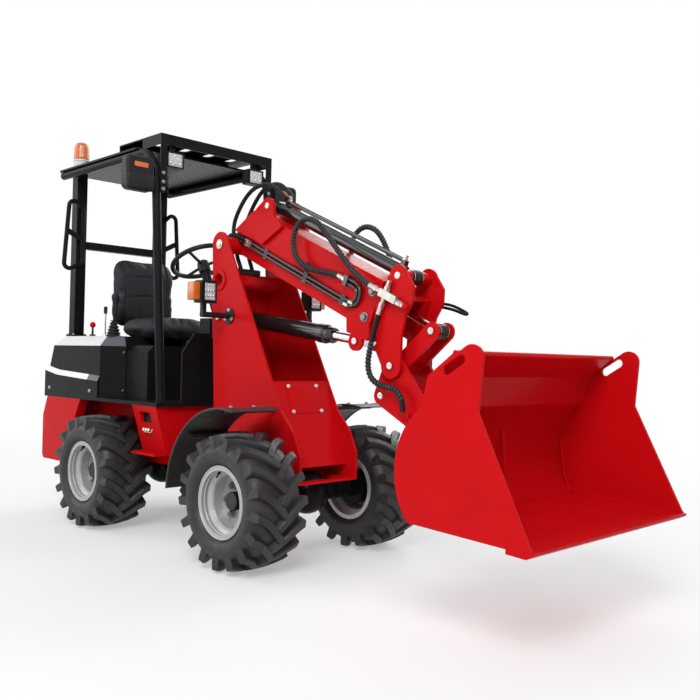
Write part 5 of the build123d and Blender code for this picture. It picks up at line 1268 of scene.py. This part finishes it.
@dataclass
class Hoses:
    """Hydraulic lines: guarded loops to the boom's head, hoses from the tower, pipes and fittings."""

    # Sides of the loops and the pipes, and routes as millimetres along the boom, up from it and across.
    SIDE: ClassVar[float] = 129.0
    PIPE: ClassVar[float] = -93.0
    right_loop: Route = (
        (895, 146, PIPE), (815, 146, PIPE), (725, 122, -106), (635, 106, -120), (545, 128, -SIDE),
        (486, 195, -SIDE), (480, 276, -SIDE), (530, 334, -SIDE), (610, 348, -SIDE), (700, 318, -SIDE),
        (815, 268, -SIDE), (945, 218, -SIDE), (1060, 190, -SIDE), (1141.7, 190, -SIDE),
    )
    left_loop: Route = (
        (960, 120, 92), (880, 116, 100), (800, 118, 112), (715, 148, 124), (652, 220, SIDE), (634, 310, SIDE),
        (682, 378, SIDE), (770, 392, SIDE), (860, 348, SIDE), (955, 262, SIDE), (1060, 190, SIDE),
        (1141.7, 190, SIDE),
    )
    hitch_line: Route = (
        (1204, 142, -SIDE), (1204, 75, -SIDE), (1216, 0, -134), (1230, -72, -137), (1246, -140, -138),
        (1290, -192, -136), (1365, -196, -134), (1440, -168, -132), (1500, -190, -130), (1528, -243, -SIDE),
    )
    head_loop: Route = (
        (1275, 190, 137), (1330, 214, 141), (1390, 226, 141), (1470, 226, 141), (1482, 222, 132),
        (1470, 218, 123), (1400, 214, 119), (1345, 200, 117),
    )
    telescope_pipe: Route = (
        (205, 316, 26), (225, 340, 26), (262, 340, 26), (700, 340, 26), (1090, 340, 26), (1128, 338, 26),
        (1140, 312, 22), (1142, 300, 14),
    )
    # Height of each side pipe and where it ends, where both start, and the places of the fittings.
    pipes: Profile = ((62, 968), (40, 940))
    pipe_start: float = 80
    ports: Route = ((222, 341, 0), (1138, 341, 0))
    head_port_at: Point = (1204, 206, -SIDE)
    coupling_at: Point = (1280, 182, -SIDE)
    dust_cap_at: Point = (1329, 182, -SIDE)
    # Corners of the tower's collar: station, side and height in millimetres.
    collar: Route = ((-585, -118, 1478), (-500, 64, 1512))
    # Fittings to turn, in metres: rows of distance along and radius.
    crimp_shell: Profile = ((0.012, 0), (0.012, 0.0132), (0.05, 0.0136), (0.053, 0.0115), (0.053, 0))
    crimp_nut: Profile = ((-0.006, 0), (-0.006, 0.0150), (0.014, 0.0150), (0.016, 0.0125), (0.016, 0))
    pipe_end: Profile = ((0, 0), (0, 0.013), (0.022, 0.013), (0.024, 0.011), (0.05, 0.011), (0.052, 0))
    pipe_nut: Profile = ((0, 0), (0, 0.0125), (0.03, 0.0125), (0.032, 0))
    port_nut: Profile = ((0, 0), (0, 0.014), (0.012, 0.014), (0.014, 0.011), (0.03, 0.011), (0.031, 0))
    head_port: Profile = ((0, 0), (0, 0.016), (0.02, 0.016), (0.022, 0.012), (0.05, 0.012), (0.052, 0))
    coupling: Profile = ((0, 0), (0, 0.015), (0.03, 0.015), (0.032, 0.012), (0.05, 0.012), (0.05, 0))
    dust_cap: Profile = ((0, 0), (0, 0.014), (0.022, 0.014), (0.026, 0.011), (0.026, 0))

    def crimp(self, end: Array, run: Array) -> Surface:
        """Crimped end fitting with a hexagon nut, from the hose's end back along it."""
        return Surface.join([revolved(self.crimp_shell, end, run, 24), revolved(self.crimp_nut, end, run, 6)])

    def ends(self) -> None:
        """Zinc fittings at the hoses' ends, nuts on the pipes, the coupling at the head and bent pipes."""
        back = -BOOM_ALONG
        fixed = [self.crimp(boom(*loop[0]), back) for loop in (self.right_loop, self.left_loop)]
        for up, end in self.pipes:
            fixed.append(revolved(self.pipe_end, boom(self.pipe_start, up, self.PIPE), BOOM_ALONG, 6))
            fixed.append(revolved(self.pipe_nut, boom(end, up, self.PIPE), BOOM_ALONG, 6))
        fixed += [revolved(self.port_nut, boom(*port), BOOM_UP, 6) for port in self.ports]
        Surface.join(fixed).piece("line_fittings_boom", Finishes.ZINC, Body.BOOM)
        sliding = [self.crimp(boom(*loop[-1]), back) for loop in (self.left_loop, self.right_loop)]
        sliding.append(self.crimp(boom(*self.hitch_line[0]), -BOOM_UP))
        sliding.append(revolved(self.head_port, boom(*self.head_port_at), BOOM_UP, 6))
        sliding.append(revolved(self.coupling, boom(*self.coupling_at), BOOM_ALONG, 6))
        Surface.join(sliding).piece("line_fittings_head", Finishes.ZINC, Body.SLIDE)
        cap = revolved(self.dust_cap, boom(*self.dust_cap_at), BOOM_ALONG, 24)
        cap.piece("coupling_cap", Finishes.RED, Body.SLIDE)
        for name, route, radius, sides, body in (
            ("head_pipe_loop", self.head_loop, 0.007, 14, Body.SLIDE),
            ("telescope_pipe", self.telescope_pipe, 0.006, 12, Body.BOOM),
        ):
            tube(hose_line(on_boom(route)), radius, sides).piece(name, Finishes.BLACK, body, 60)

    def guarded_hoses(self) -> list[Hose]:
        """The two loops between the boom and its slide, and the hose between the slide and the tool."""
        slide, tilt = (Body.BOOM, Body.SLIDE), (Body.SLIDE, Body.TOOL)
        # Name, route, bodies, start point, end point, guarded shares, nodes replaced.
        rows = (
            ("boom_hose_right", self.right_loop, slide, (287.5, 497.95, 0), (367.5, 636.51, 0), (0.04, 0.96),
             ("boom_hoses",)),
            ("boom_hose_left", self.left_loop, slide, (540.855, 540.855, 0), (665.994, 665.994, 0),
             (0.04, 0.95), ()),
            ("hitch_hose_line", self.hitch_line, tilt, (1216, 0, 0), (1500, -190, 0), (0.30, 0.93),
             ("hitch_hose",)),
        )
        return [Hose(name, on_boom(route), bodies, boom(*start), boom(*end), guarded, nodes)
                for name, route, bodies, start, end, guarded, nodes in rows]

    def tower_hoses(self) -> list[Hose]:
        """Bare hoses from the tower's collar: two over the pivot and two to the side pipes."""
        bodies = (Body.FRONT, Body.BOOM)
        hoses = []
        for number, (y, reach) in enumerate(((-16, 0), (16, 14))):
            route = [spot(-540, y * 2.4, 1485), spot(-556, y * 2.5, 1530), spot(-585, y * 2.6, 1580),
                     boom(-142, 60, y * 2.6), boom(-130, 190, y * 2.6), boom(-75, 318 + reach, y * 2.4),
                     boom(40, 388 + reach, y * 2), boom(150, 376 + reach, y * 1.5), boom(215, 352 + reach, y)]
            hoses.append(Hose(f"tower_hose_{number}", route, bodies, boom(-150, 40, 0), boom(60, 330, 0)))
        y = self.PIPE
        for number, (up, _) in enumerate(self.pipes):
            route = [spot(-540, y + 22 - 22 * number, 1485), spot(-556, y + 18 - 20 * number, 1530),
                     spot(-585, y + 10 - 16 * number, 1580), boom(-95, up - 40, y - 10 * number),
                     boom(-40, up - 4, y - 4 - 10 * number), boom(30, up, y), boom(82, up, y)]
            hoses.append(Hose(f"pipe_hose_{number}", route, bodies, boom(-110, -60, 0), boom(60, 60, 0)))
        return hoses

    def build(self) -> None:
        """Make the hoses, their guards and their fittings."""
        for hose in self.guarded_hoses() + self.tower_hoses():
            hose.build()
        low, high = self.collar
        box(spot(*low), spot(*high)).piece("tower_hose_collar", Finishes.PLASTIC, Body.FRONT, bevel=0.008)
        self.ends()


@dataclass
class Hardware:
    """Pin ends, sleeves, bolts, plates, bucket lip and treads. Millimetres; turned profiles in metres."""

    pin: float = 16.5
    lift_foot: Point = (-530, 0, 1236)
    lift_eye: Point = (1074, -100, 0)
    telescope_eye: Point = (1222, 290, 0)
    tilt_eye: Point = (1468, 126, 0)
    sleeve_radius: float = 35.5
    sleeve_edge: float = 4.0
    gland: Profile = ((0.655, 0.026), (0.655, 0.047), (0.668, 0.047), (0.672, 0.041), (0.713, 0.041),
                      (0.718, 0.038), (0.718, 0.026))
    plug: Profile = ((0, 0), (0, 0.027), (0.002, 0.026), (0.002, 0.021), (0.0005, 0.020), (0.0005, 0))
    wall: Route = ((-576, -200, 1120), (-576, 200, 1120), (-593, 200, 1440), (-593, -200, 1440))
    boom_half: float = 80
    pad_bolts: Profile = ((1078, 158), (1081, 28))
    cover_top: Point = (-67, 0, 900)
    cover_low: Point = (92, 0, 470)
    cover_shares: tuple[float, float] = (0.04, 0.38)
    cover_half: float = 110
    cover_thick: float = 4
    cover_bolts: float = 0.88
    # Station and height of the bucket's lip and of the corners along its weld.
    lip: tuple[float, float] = (1390, 1052)
    lip_half: float = 566
    lip_radius: float = 11
    weld_side: float = 565
    weld_radius: float = 5.5
    weld_wave: float = 1.0
    weld: Profile = ((1620, 408), (1191, 436), (1160, 520), (1141, 672), (1180, 790), (1252, 862),
                     (1286, 972))
    # Half length, half width and height of a tread mark; first, end and pitch of the rows.
    tread: Point = (11, 3.2, 2.2)
    tread_along: Point = (-1000, -790, 26)
    tread_across: Point = (364, 424, 22)
    step_height: float = 474
    tank_panel: Route = ((-959, -387, 641), (-851, -385, 699))
    tank_nuts: Route = ((-930, -389, 596), (-904, -389, 596), (-878, -389, 596))
    tank_nut_axis: Point = (0, -1, 0.3)
    fender_radius: float = 443
    fender_hub: float = 330
    fender_edges: tuple[float, float] = (285, 560)
    fender_plate: float = 3
    fender_arc: tuple[float, float] = (78, 178)
    lip_bead: float = 7
    canopy_foot: Point = (-1959, 305, 1140)
    foot_reach: float = 40
    tube_bolts: Route = ((-836, 377, 1950), (-836, 377, 1990), (-836, 377, 2040))
    panel_bolts: Route = ((-1320, 318, 800), (-1320, 318, 1030))
    wheel_lean: float = 27
    wheel_hub: Point = (-985, 0, 1590)
    wheel_cap_sunk: float = 21
    wheel_cap_knots: Profile = ((0, 0.034), (0.012, 0.033), (0.020, 0.024), (0.022, 0.001))

    def pins(self) -> None:
        """Bright pin ends on both sides of every pivot, at its middle and its half length."""
        rows = {
            Body.FRONT: ((spot(-534, 0, 1636), 206), (spot(*self.lift_foot), 208)),
            Body.BOOM: ((boom(175, 290, 0), 100), (boom(*self.lift_eye), 86)),
            Body.SLIDE: ((boom(*self.telescope_eye), 113), (boom(1359, -97, 0), 119)),
            Body.TOOL: ((boom(*self.tilt_eye), 63), (spot(590, 0, 855), 92)),
        }
        for body, pivots in rows.items():
            ends = [pin_cap(centre + side * y * MM * ACROSS, side * ACROSS, self.pin * MM)
                    for centre, y in pivots for side, _ in SIDES]
            Surface.join(ends).piece(f"pin_ends_{body.value}", Finishes.PIN, body)

    def sleeves(self) -> None:
        """Black sleeves on the rod eyes, and the lift cylinder's long gland."""
        radius, edge = self.sleeve_radius, self.sleeve_edge
        for name, eye, half, body in (
            ("telescope_eye_sleeve", self.telescope_eye, 30.5, Body.SLIDE),
            ("tilt_eye_sleeve", self.tilt_eye, 28.5, Body.TILT_ROD),
        ):
            profile = ((-half, 0), (-half, radius - edge), (edge - half, radius), (half - edge, radius),
                       (half, radius - edge), (half, 0))
            sleeve = revolved(np.array(profile) * MM, boom(*eye), ACROSS, 40)
            sleeve.piece(name, Finishes.PLASTIC, body)
        base = spot(*self.lift_foot)
        gland = revolved(self.gland, base, boom(*self.lift_eye) - base, 44, closed=True)
        gland.piece("lift_gland", Finishes.GLOSS, Body.LIFT_BARREL)

    def back_wall(self) -> None:
        """Plate across the back of the tower, under the cross tube."""
        wall = slab(np.array([spot(*corner) for corner in self.wall]), (-0.008, 0, 0))
        wall.piece("tower_back_wall", Finishes.RED, Body.FRONT, bevel=0.001)

    def boom_bolts(self) -> None:
        """Slide-pad bolts at the front of the outer boom and a plugged hole in its side."""
        bolts, plugs = [], []
        for side, _ in SIDES:
            out, y = side * ACROSS, side * self.boom_half
            bolts += [bolt(boom(along, up, y), out, Bolt.SLIDE_PAD) for along, up in self.pad_bolts]
            plugs.append(revolved(self.plug, boom(602, 102, y), out, 36))
        Surface.join(bolts).piece("slide_pad_bolts", Finishes.STEEL, Body.BOOM)
        Surface.join(plugs).piece("boom_hole_plugs", Finishes.PLASTIC, Body.BOOM)

    def cover(self) -> None:
        """Bolted cover on the sloping front plate of the tower."""
        top = spot(*self.cover_top)
        run = spot(*self.cover_low) - top
        normal = np.array([-run[2], 0, run[0]])
        normal /= np.linalg.norm(normal)
        high, low = self.cover_shares
        corners = np.array([top + share * run + side * self.cover_half * MM * ACROSS
                            for share, side in ((high, RIGHT), (high, LEFT), (low, LEFT), (low, RIGHT))])
        thick = normal * self.cover_thick * MM
        slab(corners, thick).piece("tower_cover", Finishes.RED, Body.FRONT, bevel=0.001)
        middle = corners.mean(0)
        places = middle + (corners - middle) * self.cover_bolts + thick
        bolts = [bolt(place, normal, Bolt.PLATE) for place in places]
        Surface.join(bolts).piece("tower_cover_bolts", Finishes.ZINC, Body.FRONT)

    def bucket(self) -> None:
        """Rounded bar along the bucket's top lip, and weld beads inside its corners that swell as a sine."""
        x, z = self.lip
        lip = np.array([spot(x, y, z) for y in (-self.lip_half, 0, self.lip_half)])
        tube(lip, self.lip_radius * MM, 18).piece("bucket_lip_bar", Finishes.RED, Body.TOOL, 60)
        beads = []
        for side, _ in SIDES:
            line = evenly(np.array([spot(x, side * self.weld_side, z) for x, z in self.weld]), 0.006)
            wave = self.weld_radius + self.weld_wave * np.sin(np.arange(len(line)) * 2.2)
            beads.append(tube(line, wave * MM, 8))
        Surface.join(beads).piece("bucket_weld_beads", Finishes.RED, Body.TOOL, 80)

    def steps(self) -> None:
        """Raised lozenges on the two steps, in rows that lean by turns to either side."""
        long, wide, tall = self.tread
        marks = []
        for side, _ in SIDES:
            for column, x in enumerate(np.arange(*self.tread_along)):
                for row, y in enumerate(np.arange(*self.tread_across)):
                    lean = math.radians(45 if (row + column) % 2 else -45)
                    along = long * np.array([math.cos(lean), math.sin(lean)])
                    aside = wide * np.array([-math.sin(lean), math.cos(lean)])
                    plan = [(x, y) + offset for offset in (-along, -aside, along, aside)]
                    corners = np.array([spot(px, side * py, self.step_height) for px, py in plan])
                    marks.append(slab(corners, (0, 0, tall * MM)))
        Surface.join(marks).piece("step_treads", Finishes.RED, Body.REAR)

    def tank_side(self) -> None:
        """Black sheet at the back of the opening in the right tank, painted shade in its hollow, and a row of
        fittings under it.
        """
        low, high = self.tank_panel
        # Black sheet for the shade inside the opening: painted shade.
        box(spot(*low), spot(*high)).piece("tank_opening_painted_shade", Finishes.BLACK, Body.REAR)
        nuts = [bolt(spot(*place), self.tank_nut_axis, Bolt.FITTING) for place in self.tank_nuts]
        Surface.join(nuts).piece("tank_fittings", Finishes.ZINC, Body.REAR)

    def on_fender(self, degrees: float, radius: float, y: float) -> Array:
        """Point over the front wheel at an angle up from the front, a radius and a side."""
        angle = math.radians(degrees)
        return spot(radius * math.cos(angle), y, self.fender_hub + radius * math.sin(angle))

    def fender_lips(self) -> None:
        """Rolled lips along both edges of each fender."""
        lips = []
        for side, _ in SIDES:
            for y in self.fender_edges:
                arc = [self.on_fender(a, self.fender_radius, side * y)
                       for a in np.linspace(*self.fender_arc, 60)]
                lips.append(tube(np.array(arc), self.lip_bead * MM, 12))
        Surface.join(lips).piece("fender_lips", Finishes.FENDER, Body.FRONT, 60)

    def small_bolts(self) -> None:
        """Bolts of the canopy's feet and tubes, the seat box and the fenders."""
        x, y, z = self.canopy_foot
        reach = (-self.foot_reach, self.foot_reach)
        bolts = [bolt(spot(x + a, side * (y + b), z), UPRIGHT, Bolt.FOOT)
                 for side, _ in SIDES for a in reach for b in reach]
        for size, places in ((Bolt.CLAMP, self.tube_bolts), (Bolt.PANEL, self.panel_bolts)):
            bolts += [bolt(spot(x, side * y, z), FORWARD, size) for side, _ in SIDES for x, y, z in places]
        Surface.join(bolts).piece("frame_bolts", Finishes.STEEL, Body.REAR)
        outside = self.fender_radius + self.fender_plate
        fender = [bolt(self.on_fender(a, outside, side * y),
                       (math.cos(math.radians(a)), 0, math.sin(math.radians(a))), Bolt.PLATE)
                  for side, _ in SIDES for a in (95, 138) for y in (330, 470)]
        Surface.join(fender).piece("fender_bolts", Finishes.STEEL, Body.FRONT)

    def wheel_cap(self) -> None:
        """Cap on the hub of the steering wheel."""
        lean = math.radians(self.wheel_lean)
        axis = np.array([-math.sin(lean), 0, math.cos(lean)])
        centre = spot(*self.wheel_hub) - axis * self.wheel_cap_sunk * MM
        profile = np.concatenate([[(0, 0)], smooth_line(self.wheel_cap_knots, 20)])
        cap = revolved(profile, centre, axis, 36)
        cap.piece("steering_wheel_cap", Finishes.PLASTIC, Body.HAND_WHEEL, 50)

    def build(self) -> None:
        """Make all the hardware."""
        self.pins()
        self.sleeves()
        self.back_wall()
        self.boom_bolts()
        self.cover()
        self.bucket()
        self.steps()
        self.tank_side()
        self.fender_lips()
        self.small_bolts()
        self.wheel_cap()


@dataclass
class Studio:
    """Pale floor, soft lights and the camera of the photo's view."""

    eye: Point = (3.22705, -2.9212, 1.0219)
    forward: Point = (-0.70854, 0.70555, 0.01088)
    up: Point = (-0.00843, -0.02389, 0.99963)
    lens: float = 43.09
    sensor: float = 36.0
    sight: float = 200.0
    floor_half: float = 60.0
    floor_drop: float = 0.0005
    floor_grey: float = 0.86
    # Share of white in the floor near the machine, and distances where it starts and ends to rise.
    near_white: float = 0.35
    fade: tuple[float, float] = (1.5, 7.0)
    sky: Colour = (0.93, 0.96, 1.0)
    sky_strength: float = 0.5

    def build(self) -> None:
        """Make the floor, the lights, the world and the camera."""
        self.floor()
        self.light("key", (4.5, -5.5, 6.5), (0.0, 0.0, 0.9), 4.0, 540)
        self.light("fill", (-5.5, -4.5, 4.0), (-0.6, 0.0, 0.9), 5.0, 130)
        self.light("back", (-2.0, 6.0, 5.5), (0.0, 0.0, 1.0), 5.0, 220)
        self.world()
        self.camera()

    def floor(self) -> None:
        """Level sheet under the wheels, which fades to the white of the background far away."""
        half, z = self.floor_half, -self.floor_drop
        mesh = bpy.data.meshes.new("floor")
        corners = [(-half, -half, z), (half, -half, z), (half, half, z), (-half, half, z)]
        mesh.from_pydata(corners, [], [(0, 1, 2, 3)])
        tree = Shader("pale_floor")
        tree.set(Base_Color=(self.floor_grey, self.floor_grey, self.floor_grey, 1.0), Roughness=0.7)
        white = tree.add("ShaderNodeEmission", Color=(1, 1, 1, 1), Strength=1.0)
        distance = tree.add("ShaderNodeVectorMath", "LENGTH")
        tree.join(tree.place, distance.inputs[0])
        far = tree.span(distance.outputs["Value"], self.near_white, 1.0, *self.fade)
        share = tree.math("MULTIPLY", far, tree.seen())
        tree.mixed(share, tree.surface.outputs[0], white.outputs[0], tree.output.inputs[0])
        mesh.materials.append(tree.material)
        floor = bpy.data.objects.new("floor", mesh)
        bpy.context.scene.collection.objects.link(floor)

    def light(self, name: str, place: Point, aim: Point, size: float, watts: float) -> None:
        """Add a square soft light.

        Args:
            name: Name of the light.
            place: Where it stands.
            aim: The point it faces.
            size: Length of its side.
            watts: Its power.
        """
        lamp = bpy.data.lights.new(name, "AREA")
        lamp.size = size
        lamp.energy = watts
        made = bpy.data.objects.new(name, lamp)
        made.location = place
        made.rotation_euler = (Vector(aim) - Vector(place)).to_track_quat("-Z", "Y").to_euler()
        bpy.context.scene.collection.objects.link(made)

    def world(self) -> None:
        """Even pale light from all round, which the camera and polished metal see as white."""
        world = bpy.data.worlds.new("studio")
        world.use_nodes = True
        tree = Nodes(world.node_tree)
        lit = tree.add("ShaderNodeBackground", Color=(*self.sky, 1.0), Strength=self.sky_strength)
        white = tree.add("ShaderNodeBackground", Color=(1.0, 1.0, 1.0, 1.0), Strength=1.0)
        output = tree.add("ShaderNodeOutputWorld")
        tree.mixed(tree.seen(), lit.outputs[0], white.outputs[0], output.inputs[0])
        bpy.context.scene.world = world

    def camera(self) -> None:
        """Camera at the photo's place, with the photo's angle of view."""
        data = bpy.data.cameras.new("camera")
        data.sensor_width = self.sensor
        data.lens = self.lens
        data.clip_end = self.sight
        back = -np.array(self.forward)
        right = np.cross(np.array(self.up), back)
        right /= np.linalg.norm(right)
        up = np.cross(back, right)
        turn = Matrix([[right[k], up[k], back[k]] for k in range(3)])
        made = bpy.data.objects.new("camera", data)
        made.matrix_world = Matrix.Translation(Vector(at(*self.eye))) @ turn.to_4x4()
        bpy.context.scene.collection.objects.link(made)
        bpy.context.scene.camera = made


SLOT_FINISHES: dict[str, Finish] = {
    "red": Finishes.RED, "black_paint": Finishes.BLACK, "chrome": Finishes.CHROME, "zinc": Finishes.ZINC,
    "silver": Finishes.SILVER, "tyre": Finishes.TYRE, "plastic": Finishes.PLASTIC, "vinyl": Finishes.VINYL,
    "amber": Finishes.AMBER, "iron": Finishes.IRON, "line_rubber": Finishes.HOSE,
}
NODE_FINISHES: dict[str, Finish] = {
    "telescope_barrel": Finishes.GLOSS, "lift_barrel": Finishes.GLOSS, "tilt_barrel": Finishes.GLOSS,
    "steer_barrel": Finishes.GLOSS, "boom_pipes": Finishes.GLOSS, "fenders": Finishes.FENDER,
}


def dress_nodes() -> None:
    """Give every node of the frame its own finish, or else that of its slot."""
    slots = {part["node"]: part["material_slot"] for part in frame["record"]["subparts"]}
    for name, node in frame["nodes"].items():
        node.data.materials.clear()
        finish = NODE_FINISHES.get(name, SLOT_FINISHES[slots[name]])
        node.data.materials.append(Finishes.get(finish))


def main() -> None:
    """Build the machine's looks, piece by piece, and the studio round it."""
    logging.basicConfig(level=logging.INFO, format="%(name)s: %(message)s")
    bpy.context.scene.view_settings.view_transform = "Standard"
    dress_nodes()
    for corner in CORNERS:
        Tyre(corner).build()
        Wheel(corner).build()
    for assembly in (HoodTrim(), Seat(), Levers(), Lamps(), Hoses(), Hardware()):
        assembly.build()
    Studio().build()


if __name__ == "__main__":
    main()
